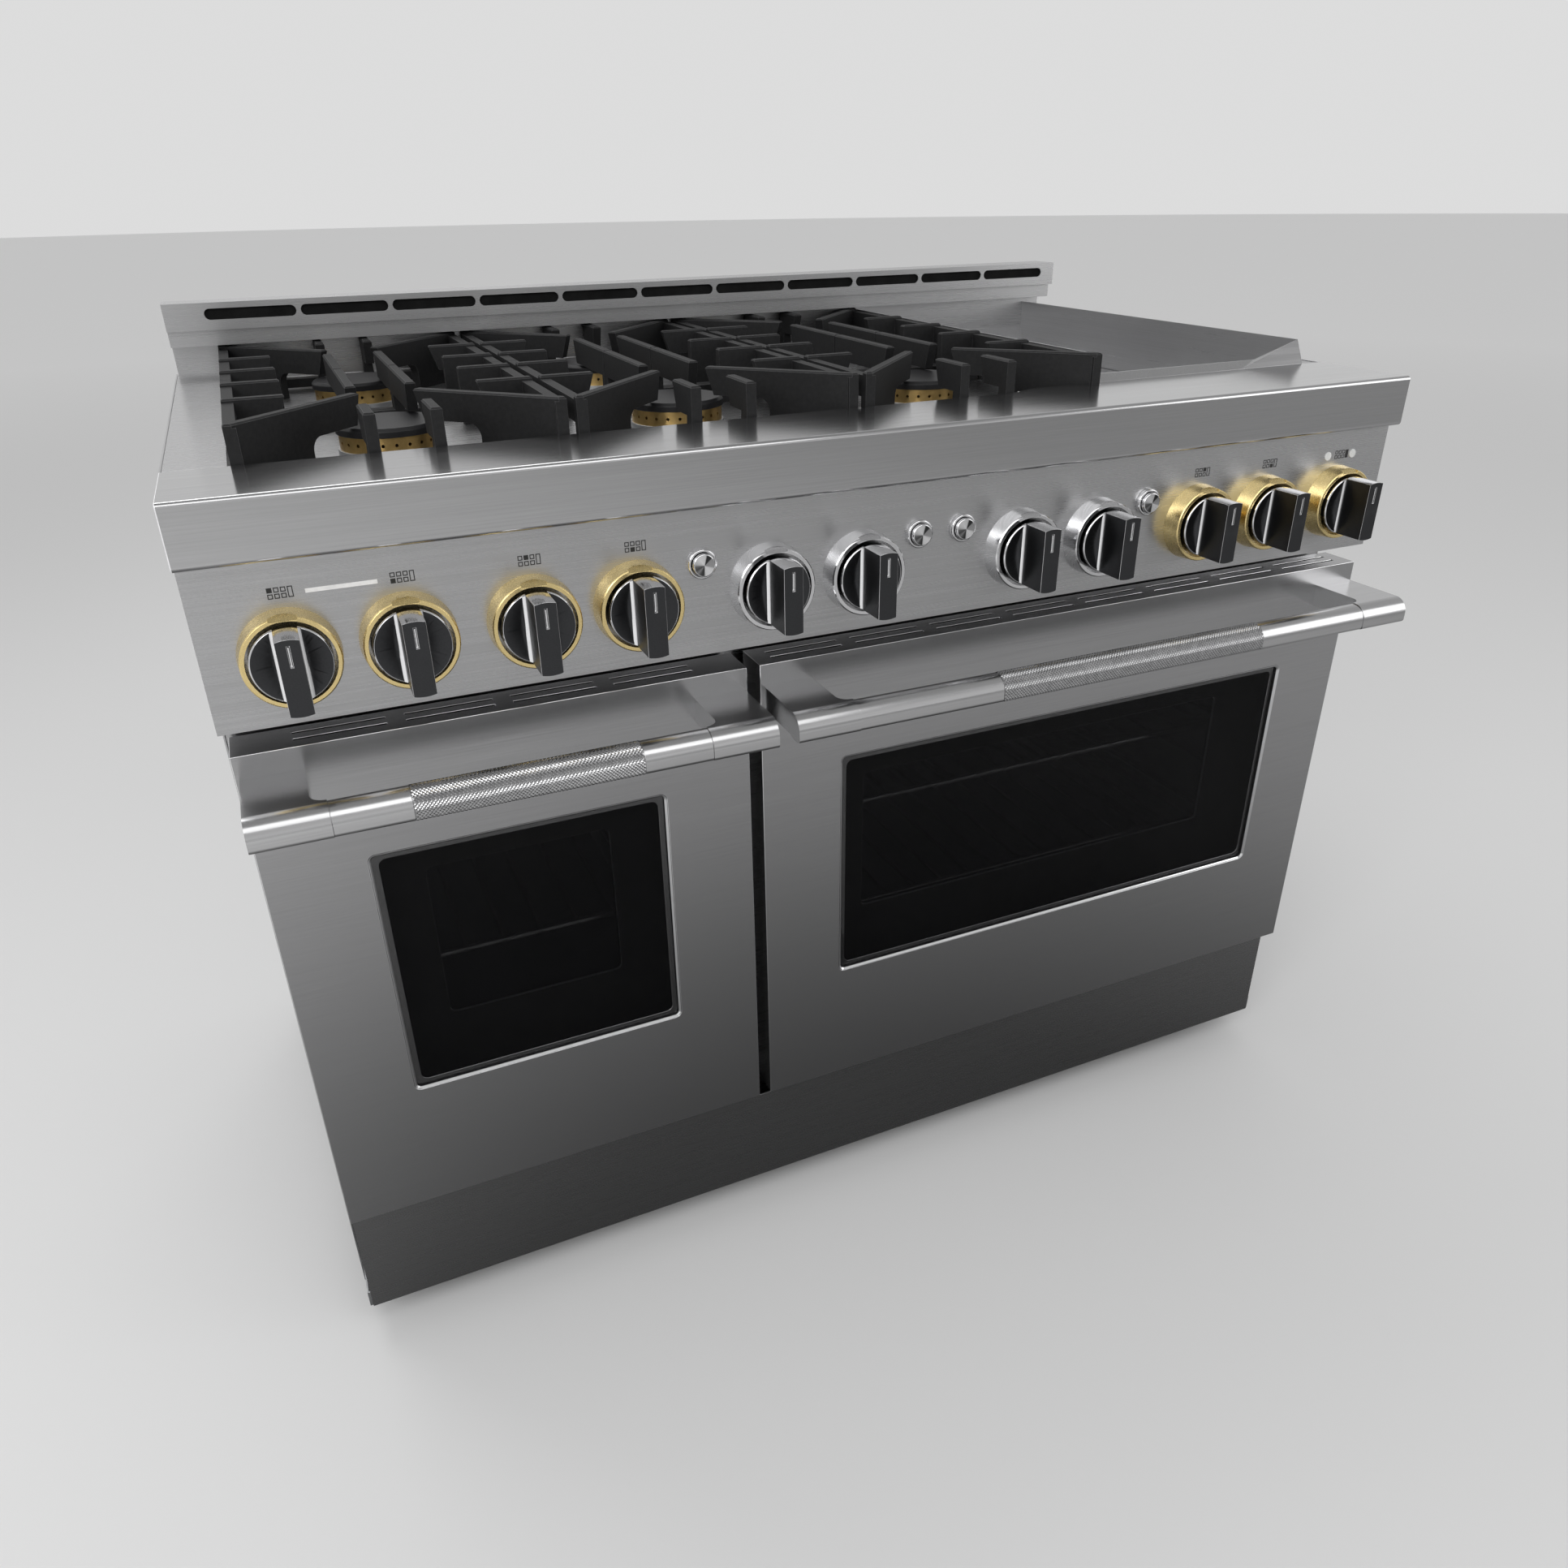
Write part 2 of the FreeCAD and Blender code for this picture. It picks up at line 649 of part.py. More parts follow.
def door(name, door_across, shift):
    skin = size("door_sheet")
    across, up = window_across(door_across), (window_low, window_high)
    fit, radius = size("glass_fit"), size("window_radius")
    pane_back = door_face + size("glass")
    flange = skin + size("door_flange")
    shell = cut("door_shell",
                box("door_out", door_across, (door_face, door_shell_back),
                    (door_bottom, door_top)),
                box("door_in", (door_across[0] + skin, door_across[1] - skin),
                    (door_face + skin, door_shell_back - skin),
                    (door_bottom + skin, door_top - skin)),
                box("door_rear", (door_across[0] + flange, door_across[1] - flange),
                    (door_face + skin, door_shell_back + skin),
                    (door_bottom + flange, door_top - flange)))
    frame = inset_pane("window_frame", across, (door_face, pane_back + skin), up, fit + skin,
                       radius + skin)
    recess = inset_pane("window_recess", across, (door_face - skin, pane_back), up, fit, radius)
    view = inset_pane("window_view", across, (door_face - skin, pane_back + skin * 2), up,
                      -size("glass_seat"), radius)
    cuts = [recess, view] + vent_slots(door_across)
    cuts += [hinge_slot(x) for x in hinge_places(door_across)]
    cuts += [ear_room(x) for x in hinge_places(door_across)]
    body = fuse("door_body", shell, frame)
    node(f"door_{name}_skin", cut(f"skin_{name}", body, *cuts))

    liner_across = (door_across[0] + size("liner_step"), door_across[1] - size("liner_step"))
    plate = box("liner_plate", liner_across, (door_shell_back, door_back),
                (door_bottom + size("liner_step"), door_top - size("liner_step")))
    inner = size("inner_glass_inset")
    pocket = inset_pane("pocket", across, (door_back - size("glass"), door_back + 1), up,
                        fit - inner, radius)
    sight = inset_pane("sight", across, (door_shell_back - 1, door_back + 1), up,
                       -inner - size("glass_seat"), radius)
    ears = [hinge_ear(x, side) for x in hinge_places(door_across) for side in (-1, 1)]
    slots = [hinge_slot(x) for x in hinge_places(door_across)]
    bore = rod("hinge_bore", "x", (door_across[0], hinge_y, hinge_z), door_across[1],
               size("hinge_pin") / 2 + size("pin_clearance"))
    node(f"door_{name}_liner", cut(f"liner_{name}", fuse("liner_body", plate, *ears),
                                   pocket, sight, bore, *slots))

    outer = pane("outer_glass", across, (door_face, pane_back), up, radius)
    inside = inset_pane("inner_glass", across, (door_back - size("glass"), door_back), up,
                        -inner, radius)
    node(f"door_{name}_glass", group(f"glass_{name}", outer, inside))
    handle(name, door_across, shift)


def hinge_slot(x):
    reach = size("bracket") / 2 + size("bracket_gap")
    clear = size("bracket_round") + size("bracket_gap")
    return box("hinge_slot", (x - reach, x + reach), (hinge_y - clear, door_back + 1),
               (door_bottom - 1, hinge_z + clear))


def ear_room(x):
    """The part of the skin's rear flange that makes way for a pair of ears."""
    reach, clear = pin_reach + size("seam"), size("ear_round") + size("seam")
    return box("ear_room", (x - reach, x + reach), (hinge_y - clear, door_back + 1),
               (hinge_z - clear, hinge_z + clear))


def hinge_ear(x, side):
    near = size("bracket") / 2 + size("bracket_gap")
    far = near + size("ear")
    across = (x + near, x + far) if side > 0 else (x - far, x - near)
    round_ = size("ear_round")
    return box("ear", across, (hinge_y - round_, door_shell_back),
               (hinge_z - round_, hinge_z + round_))


def vent_slots(door_across):
    """Two rows of cooling slots in the top edge of a door."""
    pitch, long, wide = (size(k) for k in
                         ("vent_slot_pitch", "vent_slot_length", "vent_slot_width"))
    total = int((plain(door_across[1]) - plain(door_across[0])) / plain(pitch))
    start = (door_across[0] + door_across[1]) / 2 - pitch * (total / 2) + (pitch - long) / 2
    slots = []
    for row in (1, 2):
        y = door_face + size("vent_row") * row
        for i in range(total):
            low = start + pitch * i
            slots.append(box("vent", (low, low + long), (y, y + wide),
                             (door_top - size("door_sheet") - 1, door_top + 1)))
    return slots


def handle(name, door_across, shift):
    """End blocks on two posts, with a bar between them whose middle is the knurled grip."""
    low, high = door_across[0] + size("bar_end_gap"), door_across[1] - size("bar_end_gap")
    bar_top = door_top - size("bar_drop")
    bar_bottom = bar_top - size("bar_height")
    front = rail_front - size("handle_reach")
    rear = front + size("bar_thickness")
    post = size("post_width")
    grip = (door_across[1] - door_across[0]) * size("grip_share")
    middle = (door_across[0] + door_across[1]) / 2 + shift
    marks = [low, low + post + size("post_shoulder"), middle - grip / 2, middle + grip / 2,
             high - post - size("post_shoulder"), high]
    pieces = []
    for i, (start, end) in enumerate(zip(marks, marks[1:])):
        relief = size("grip_relief") if i in (1, 3) else size("seam") * 0
        slab = box("bar", (start, end), (front + relief, rear), (bar_bottom, bar_top - relief))
        shaped = rounded("bar_round", slab, size("bar_round") - relief, lambda edge: (
            along("x")(edge) and edge.CenterOfMass.y < plain(front) + 1
            and edge.CenterOfMass.z > plain(bar_top) - 1))
        shaped = rounded("bar_low", shaped, size("bar_round_low"), lambda edge: (
            along("x")(edge) and edge.CenterOfMass.y < plain(front) + 1
            and edge.CenterOfMass.z < plain(bar_bottom) + 1))
        if i in (0, 4):
            inner = (start, start + post) if i == 0 else (end - post, end)
            arm = box("post", inner, (rear - 1, door_face),
                      (bar_top - size("post_height"), bar_top))
            shaped = fuse("handle_end", shaped, arm)
            corner = plain(inner[1] if i == 0 else inner[0])
            shaped = rounded("post_round", shaped, size("post_round") - size("seam"),
                             lambda edge: (along("z")(edge)
                                           and abs(edge.CenterOfMass.x - corner) < 1e-6
                                           and abs(edge.CenterOfMass.y - plain(rear)) < 1e-6))
        pieces.append(shaped)
    node(f"door_{name}_handle", group(f"handle_{name}", *pieces))


# Burners and grates

GRATE_CENTRES = [size("grate_margin") - half + size("grate_pitch") * i for i in range(3)]
griddle_left = GRATE_CENTRES[-1] + size("grate_width") / 2 + size("griddle_gap")
grate_start = rail_front + size("grate_front")
grate_middle = grate_start + size("grate_length") / 2
BURNERS = [(x, y) for x in GRATE_CENTRES
           for y in (grate_middle - size("burner_offset"), grate_middle + size("burner_offset"))]


def burner_deck():
    left, right = size("left_margin") - half, griddle_left
    outer = box("deck_out", (left, right), (rail_back, wall_face), (deck_top - wall, top - wall))
    inner = box("deck_in", (left + wall, right - wall), (rail_back + wall, wall_face - wall),
                (deck_top, top))
    low_rear = box("deck_low_rear", (left + wall, right + 1), (wall_face - wall * 2, wall_face + 1),
                   (top - size("deck_rear_drop"), top))
    margin = box("deck_margin", (-inner_half, left + wall), (rail_back, wall_face),
                 (top - wall, top))
    tuck = box("deck_tuck", (left, right), (rail_back - size("deck_tuck"), rail_back + wall),
               (top - wall * 2, top - wall))
    holes = [rod("burner_hole", "z", (x, y, deck_top - wall * 2), deck_top + wall,
                 size("burner_hole")) for x, y in BURNERS]
    pan = cut("deck_pan", outer, inner, low_rear, *holes)
    node("burner_deck", fuse("deck", pan, margin, tuck))


def burners():
    ring_low = deck_top + size("burner_flange")
    ring_high = ring_low + size("ring_height")
    neck, cap = size("burner_neck"), size("cap_radius")
    inner = size("ring_radius") - size("ring_wall")
    bases, rings, caps = [], [], []
    for x, y in BURNERS:
        bases.append(turned("burner_base", [
            (0, -size("neck_length")), (neck, -size("neck_length")), (neck, 0), (cap, 0),
            (cap, size("burner_flange")), (0, size("burner_flange"))], (x, y, deck_top)))
        ring = turned("burner_ring", [
            (inner, 0), (size("ring_radius"), 0), (size("ring_radius"), size("ring_height")),
            (inner, size("ring_height"))], (x, y, ring_low))
        rings.append(cut("ported_ring", ring, *ports(x, y, ring_low + size("ring_height") / 2)))
        bevel, tall = size("cap_bevel"), size("cap_height")
        caps.append(turned("burner_cap", [
            (0, -bevel), (inner - 1, -bevel), (inner - 1, 0), (cap, 0), (cap, tall - bevel),
            (cap - bevel, tall), (0, tall)], (x, y, ring_high)))
    node("burner_bases", group("bases", *bases))
    node("burner_rings", group("rings", *rings))
    node("burner_caps", group("caps", *caps))


def ports(x, y, z):
    """Flame ports drilled right through the ring, so each drill makes two."""
    reach = size("ring_radius") + 1
    drills = []
    total = int(plain(size("ports")))
    for i in range(total):
        drill = new("Part::Cylinder", "port")
        bind(drill, "Radius", size("port") / 2)
        bind(drill, "Height", reach * 2)
        turn = Rotation(Vector(0, 0, 1), 180 * i / total) * TURN["x"]
        shift = turn.multVec(Vector(0, 0, -1))
        place(drill, (x + reach * shift.x, y + reach * shift.y, z), turn)
        drills.append(drill)
    return drills


grate_high = top + size("grate_top")
grate_low = grate_high - size("finger_depth")
grate_floor = grate_high - size("leg_depth")


def corner_arm(x, side, sign):
    """A diagonal arm: shallow over the burner, then down to the deck through a round arch."""
    half_wide, far = size("grate_width") / 2, size("grate_length") / 2
    across, away = half_wide - size("long_finger_offset"), far - size("arm_tip")
    length = (plain(across) ** 2 + plain(away) ** 2) ** 0.5
    finger = size("finger")
    arm = prism("arm", "xz", [
        (size("tip_slant"), grate_low), (size("arm_arch"), grate_low),
        (size("arm_arch"), grate_floor),
        (length + plain(finger), grate_floor), (length + plain(finger), grate_high),
        (0, grate_high)], finger / -2, finger / 2)
    arched = rounded("arm_arched", arm, size("arm_arch_round"), lambda edge: (
        along("y")(edge) and abs(edge.CenterOfMass.x - plain(size("arm_arch"))) < 1e-6
        and abs(edge.CenterOfMass.z - plain(grate_low)) < 1e-6))
    turn = Rotation(Vector(1, 0, 0), Vector(plain(across) * side, plain(away) * sign, 0))
    place(arched, (x + size("long_finger_offset") * side,
                   grate_middle + size("arm_tip") * sign, 0), turn)
    trimmed = new("Part::Common", "arm_trimmed")
    trimmed.Base = arched
    rear_edge = grate_middle + far * sign
    trimmed.Tool = box("footprint", (x - half_wide, x + half_wide),
                       (rear_edge, grate_middle) if sign < 0 else (grate_middle, rear_edge),
                       (grate_floor, grate_high))
    return trimmed


def casting(x, sign):
    """One cast grate over one burner; sign is -1 for the front one and 1 for the rear one."""
    finger, half_wide = size("finger"), size("grate_width") / 2
    high, low, floor = grate_high, grate_low, grate_floor
    rail_top_z = high - size("frame_drop")
    near, far = size("grate_split") / 2, size("grate_length") / 2

    def span(start, end):
        """Distances from the middle of the hob, as a front-to-back range."""
        first, last = grate_middle + start * sign, grate_middle + end * sign
        return (first, last) if sign > 0 else (last, first)

    def sideways(start, end, side):
        return (x + start, x + end) if side > 0 else (x - end, x - start)

    parts = []
    for side in (-1, 1):
        parts.append(box("grate_rail", sideways(half_wide - finger, half_wide, side),
                         span(near, far), (rail_top_z - size("frame_depth"), rail_top_z)))
        for end in ((near, near + finger), (far - finger, far)):
            parts.append(box("grate_post", sideways(half_wide - finger, half_wide, side),
                             span(*end), (floor, rail_top_z)))
        offset = size("side_finger_offset")
        parts.append(box("side_plate",
                         sideways(half_wide - size("side_finger"), half_wide, side),
                         span(offset - finger / 2, offset + finger / 2), (floor, high)))
        offset = size("burner_offset")
        free, fixed = x + (half_wide - size("side_finger")) * side, x + half_wide * side
        parts.append(prism("side_finger", "xz", [
            (free, high), (free + size("tip_slant") * side, low), (fixed, low), (fixed, high)],
            *span(offset - finger / 2, offset + finger / 2)))
        middle = x + size("long_finger_offset") * side
        line = (middle - finger / 2, middle + finger / 2)
        for name, tip, root in (("long_finger", size("long_finger"), near),
                                ("short_finger", far - size("short_finger"), far)):
            slant = size("tip_slant") if name == "short_finger" else -size("tip_slant")
            parts.append(prism(name, "yz", [
                (grate_middle + tip * sign, high), (grate_middle + root * sign, high),
                (grate_middle + root * sign, low), (grate_middle + (tip + slant) * sign, low)],
                *line))
        parts.append(box("long_leg", line, span(near, near + finger), (floor, high)))
        draft = size("leg_draft")
        parts.append(prism("short_leg", "xz", [
            (line[0], high), (line[1], high), (line[1], low), (line[1] + draft, floor),
            (line[0] - draft, floor), (line[0], low)],
            *span(far - finger * 1.4, far)))
        parts.append(corner_arm(x, side, sign))
    for end in ((near, near + finger), (far - finger, far)):
        parts.append(box("grate_tie", (x - half_wide, x + half_wide), span(*end),
                         (floor + size("tie_lift"), floor + size("tie_lift") + finger)))
    body = fuse("casting", *parts)
    return rounded("casting_bevel", body, size("finger_bevel"),
                   lambda edge: abs(edge.BoundBox.ZMin - plain(high)) < 1e-6, chamfer=True)


def grates():
    for name, x in zip(("left", "center", "right"), GRATE_CENTRES):
        node(f"grate_{name}", group(f"grate_{name}", casting(x, -1), casting(x, 1)))


# Griddle

def griddle():
    left, right = griddle_left, half - size("guard_inset")
    plate_top = top - size("griddle_floor")
    floor = plate_top - size("griddle_plate")
    lip_back = griddle_front + size("griddle_lip_slope")
    lip_top = top + size("griddle_lip")
    rear_top = top - size("deck_rear_drop")
    left_wall = box("tub_left", (left, left + wall), (griddle_front, wall_face),
                    (floor - wall, top + size("griddle_wall_top")))
    guard_high, guard_lean = top + size("guard_top"), griddle_front + size("guard_front")
    guard = prism("guard", "yz", [
        (griddle_front, floor - wall), (wall_face, floor - wall), (wall_face, guard_high),
        (guard_lean, guard_high), (griddle_front, top)], right - wall, right)
    # the guard's front corner is folded down to the lip, and a strip runs outside the guard
    fold = size("guard_fold")
    web = prism("fold_web", "yz", [(griddle_front, top), (lip_back, lip_top),
                                   (guard_lean, guard_high)], right - fold, right)
    above = prism("fold_above", "xz", [
        (right - fold, top), (right, guard_high), (right, guard_high + fold),
        (right - fold, guard_high + fold)], griddle_front - wall, guard_lean + wall)
    low = top - size("flange_drop")
    flange = box("tub_flange", (right - wall, half - size("flange_end")),
                 (griddle_front, wall_face), (low - wall, low))
    lip = prism("lip", "yz", [
        (griddle_front, top - wall), (griddle_front, top), (lip_back, lip_top),
        (lip_back + wall, lip_top), (lip_back + wall, floor - wall), (lip_back, floor - wall),
        (lip_back, lip_top - wall)], left, right)
    rear = box("tub_rear", (left, right), (wall_face - wall, wall_face), (floor - wall, rear_top))
    bottom = box("tub_floor", (left, right), (lip_back, wall_face), (floor - wall, floor))
    ledge = size("griddle_ledge")
    opening = box("tub_opening", (left + ledge, right - ledge),
                  (lip_back + ledge, wall_face - ledge), (floor - wall * 2, floor + 1))
    node("griddle_tub", fuse("tub", left_wall, guard, lip, rear, flange,
                             cut("fold", web, above), cut("tub_bottom", bottom, opening)))

    gap = wall + size("plate_gap")
    node("griddle_plate", box("plate", (left + gap, right - gap), (lip_back + gap, wall_face - gap),
                              (floor, plate_top)))


# Backguard

def backguard():
    end = half - size("backguard_end_gap")
    foot = top - size("backguard_foot")
    riser, band = wall_face - size("riser_out"), wall_face - size("band_out")
    band_low = top + size("band_top") - size("band_height")
    riser_low, lid = top + size("riser_bottom"), top + size("band_top")
    outer = prism("guard_out", "yz", [
        (wall_face, foot), (wall_face, riser_low), (riser, riser_low), (riser, band_low),
        (band, band_low), (band, lid), (back, lid), (back, foot)], -end, end)
    inner = prism("guard_in", "yz", [
        (wall_face + wall, foot - 1), (wall_face + wall, riser_low + wall),
        (riser + wall, riser_low + wall), (riser + wall, band_low + wall),
        (band + wall, band_low + wall), (band + wall, lid - wall), (back - wall, lid - wall),
        (back - wall, foot - 1)], wall - end, end - wall)
    slots = []
    pitch, radius = size("slot_pitch"), size("slot_height") / 2
    total = int(plain(end - size("slot_offset")) * 2 / plain(pitch))
    height = top + size("slot_centre")
    for i in range(total):
        middle = size("slot_offset") + pitch * (i - (total - 1) / 2)
        reach = size("slot_length") / 2 - radius
        slots.append(box("slot", (middle - reach, middle + reach), (band - 1, band + wall + 1),
                         (height - radius, height + radius)))
        for x in (middle - reach, middle + reach):
            slots.append(rod("slot_end", "y", (x, band - 1, height), band + wall + 1, radius))
    node("backguard", cut("backguard", outer, inner, *slots))


cabinet()
front_frame()
oven("left", LEFT_DOOR)
oven("right", RIGHT_DOOR)
rack("left", LEFT_DOOR, 2)
rack("right_lower", RIGHT_DOOR, 1)
rack("right_upper", RIGHT_DOOR, 3)
landing_rail()
control_panel()
bezels()
for number, place_x in enumerate(GAS_KNOBS, start=1):
    knob(f"gas_knob_{number}", place_x, True)
    stem(f"gas_stem_{number}", place_x)
for number, place_x in enumerate(OVEN_KNOBS, start=1):
    knob(f"oven_knob_{number}", place_x, False)
for number, place_x in enumerate(BUTTONS, start=1):
    button(f"button_{number}", place_x)
gas_line()
oven_controls()
door("left", LEFT_DOOR, 0)
door("right", RIGHT_DOOR, size("right_grip_shift"))
burner_deck()
burners()
grates()
griddle()
backguard()

doc.recompute()

# Every object must have been built, and every node must be sound, before anything is written.

for thing in doc.Objects:
    if "Invalid" in thing.State or "Error" in thing.State:
        raise RuntimeError(f"{thing.Label} did not build: {thing.State}")
for name, thing in nodes.items():
    if thing.Shape.isNull() or not thing.Shape.isValid():
        raise RuntimeError(f"{name} has no sound shape")

os.makedirs("parts", exist_ok=True)
for name, thing in nodes.items():
    thing.Shape.exportStep(f"parts/{name}.step")
    print(name, len(thing.Shape.Solids), round(thing.Shape.Volume))
print(len(nodes), "nodes")
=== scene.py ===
# Gas range with a griddle and two ovens: finishes, softened edges and small parts
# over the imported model.
import json
import math

import bmesh
import bpy
from mathutils import Matrix, Vector

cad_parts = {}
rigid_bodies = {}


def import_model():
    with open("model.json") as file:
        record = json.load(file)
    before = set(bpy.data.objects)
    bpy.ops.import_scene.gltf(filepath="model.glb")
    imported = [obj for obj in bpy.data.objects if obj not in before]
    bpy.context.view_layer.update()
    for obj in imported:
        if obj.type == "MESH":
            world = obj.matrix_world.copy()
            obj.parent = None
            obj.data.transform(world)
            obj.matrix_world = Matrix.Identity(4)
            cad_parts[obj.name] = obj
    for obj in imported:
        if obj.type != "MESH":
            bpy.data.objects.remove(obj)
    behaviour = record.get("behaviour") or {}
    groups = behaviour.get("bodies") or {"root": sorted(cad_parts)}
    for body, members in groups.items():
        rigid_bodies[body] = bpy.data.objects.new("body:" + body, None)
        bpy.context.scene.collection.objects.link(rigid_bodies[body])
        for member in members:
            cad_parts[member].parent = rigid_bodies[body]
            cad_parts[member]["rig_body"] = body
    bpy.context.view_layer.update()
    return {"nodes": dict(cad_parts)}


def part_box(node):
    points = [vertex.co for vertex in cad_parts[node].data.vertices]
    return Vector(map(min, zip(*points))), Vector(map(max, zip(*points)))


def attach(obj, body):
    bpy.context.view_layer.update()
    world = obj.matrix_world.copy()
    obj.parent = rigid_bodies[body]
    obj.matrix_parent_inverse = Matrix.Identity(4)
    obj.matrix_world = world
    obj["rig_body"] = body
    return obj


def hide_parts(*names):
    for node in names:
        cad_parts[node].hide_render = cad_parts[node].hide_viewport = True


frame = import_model()
nodes = frame["nodes"]
mm = 0.001
samePlane = 1e-5    # metres; faces and points closer than this lie in one plane
print("range: packed model loaded,", len(nodes), "nodes")


# Finishes

def newFinish(name, **sockets):
    finish = bpy.data.materials.new(name)
    finish.use_nodes = True
    shader = finish.node_tree.nodes["Principled BSDF"]
    for socket, value in sockets.items():
        shader.inputs[socket.replace("_", " ")].default_value = value
    return finish


def addNode(finish, kind, **settings):
    node = finish.node_tree.nodes.new(kind)
    for key, value in settings.items():
        if key in node.bl_rna.properties:
            setattr(node, key, value)
        else:
            node.inputs[key.replace("_", " ")].default_value = value
    return node


def join(finish, start, end):
    finish.node_tree.links.new(start, end)


# noise in the part's own coordinates, drawn out by a scale in cycles per metre
def grain(finish, scale, detail=2.0, roughness=0.5):
    where = addNode(finish, "ShaderNodeTexCoord")
    stretch = addNode(finish, "ShaderNodeMapping", Scale=scale)
    noise = addNode(finish, "ShaderNodeTexNoise", Scale=1.0, Detail=detail, Roughness=roughness)
    join(finish, where.outputs["Object"], stretch.inputs["Vector"])
    join(finish, stretch.outputs["Vector"], noise.inputs["Vector"])
    return noise.outputs["Fac"]


noiseRange = (0.3, 0.7)    # where most of a noise lies


# turns a noise into a value from low to high
def spread(finish, factor, low, high):
    span = addNode(finish, "ShaderNodeMapRange", From_Min=noiseRange[0],
                   From_Max=noiseRange[1], To_Min=low, To_Max=high)
    join(finish, factor, span.inputs["Value"])
    return span.outputs["Result"]


# blends two colours by a noise into the base colour
def tone(finish, factor, dark, light):
    shader = finish.node_tree.nodes["Principled BSDF"]
    ramp = addNode(finish, "ShaderNodeValToRGB")
    setStops(ramp, [(noiseRange[0], dark), (noiseRange[1], light)])
    join(finish, factor, ramp.inputs["Fac"])
    join(finish, ramp.outputs["Color"], shader.inputs["Base Color"])


# raises the surface by a noise, in metres
def relief(finish, factor, height, strength):
    bump = addNode(finish, "ShaderNodeBump", Distance=height, Strength=strength)
    join(finish, factor, bump.inputs["Height"])
    join(finish, bump.outputs["Normal"],
         finish.node_tree.nodes["Principled BSDF"].inputs["Normal"])


# sets the stops of a ramp, each a place along it and a colour
def setStops(ramp, stops):
    elements = ramp.color_ramp.elements
    for i, (at, colour) in enumerate(stops):
        stop = elements[i] if i < 2 else elements.new(at)
        stop.position = at
        stop.color = (*colour, 1)


# a factor times a share, and plus more where that is given
def scaled(finish, factor, share, more=None):
    kind = "MULTIPLY_ADD" if more else "MULTIPLY"
    node = addNode(finish, "ShaderNodeMath", operation=kind)
    node.inputs[1].default_value = share
    join(finish, factor, node.inputs[0])
    if more:
        join(finish, more, node.inputs[2])
    return node.outputs[0]


finishing = {
    # how a brushed tone is made up: shares of the fine lines, the wide lines and the clouds
    "fineShare": 0.65, "wideShare": 0.25, "cloudShare": 0.1,
    # cycles per metre along the lines and in the clouds, and how much wider the wide lines are
    "fineAlong": 9, "wideAlong": 2.2, "cloudSize": 2.5, "widening": 6,
    "brushedTones": (0.93, 1.06), "brushedSheens": (1.12, 0.88), "brushedRelief": 0.5,
    "turnedSize": 900, "turnedTones": (0.95, 1.05), "turnedSheens": (1.1, 0.9),
    "coarsening": 5, "speckledSheens": (0.9, 1.1), "speckledRelief": 0.6,
}


# a tone made darker and lighter by two shares
def shades(colour, shares):
    return ([min(1, c * share) for c in colour] for share in shares)


# sheet metal with fine lines along one direction and reflections drawn out across them
def brushed(name, colour, rough, along=(1, 0.06, 0.04), drawn=0.6, depth=4e-6, lines=900):
    finish = newFinish(name, Metallic=1.0, Roughness=rough, Anisotropic=drawn)
    shader = finish.node_tree.nodes["Principled BSDF"]
    longAxis = max(range(3), key=lambda i: abs(along[i]))
    fineScale = [lines] * 3
    wideScale = [lines / finishing["widening"]] * 3
    fineScale[longAxis], wideScale[longAxis] = finishing["fineAlong"], finishing["wideAlong"]
    fine = grain(finish, fineScale, 3.0)
    wide = grain(finish, wideScale, 2.0)
    cloud = grain(finish, (finishing["cloudSize"],) * 3, 2.0)
    clouds = scaled(finish, cloud, finishing["cloudShare"])
    broad = scaled(finish, wide, finishing["wideShare"], clouds)
    mixed = scaled(finish, fine, finishing["fineShare"], broad)
    tone(finish, mixed, *shades(colour, finishing["brushedTones"]))
    matt, bright = finishing["brushedSheens"]
    join(finish, spread(finish, mixed, rough * matt, rough * bright), shader.inputs["Roughness"])
    relief(finish, fine, depth, finishing["brushedRelief"])
    # the lines run along one axis on every face, so reflections stretch square to them
    surface = addNode(finish, "ShaderNodeNewGeometry")
    square = addNode(finish, "ShaderNodeVectorMath", operation="CROSS_PRODUCT")
    join(finish, surface.outputs["Normal"], square.inputs[0])
    square.inputs[1].default_value = along
    join(finish, square.outputs["Vector"], shader.inputs["Tangent"])
    return finish


# metal turned on a lathe round the front-to-back line through its middle
def turnedMetal(name, colour, rough, drawn=0.75):
    finish = newFinish(name, Metallic=1.0, Roughness=rough, Anisotropic=drawn)
    shader = finish.node_tree.nodes["Principled BSDF"]
    fine = grain(finish, (finishing["turnedSize"],) * 3, 3.0)
    tone(finish, fine, *shades(colour, finishing["turnedTones"]))
    matt, bright = finishing["turnedSheens"]
    join(finish, spread(finish, fine, rough * matt, rough * bright), shader.inputs["Roughness"])
    ring = addNode(finish, "ShaderNodeTangent", direction_type="RADIAL", axis="Y")
    join(finish, ring.outputs["Tangent"], shader.inputs["Tangent"])
    return finish


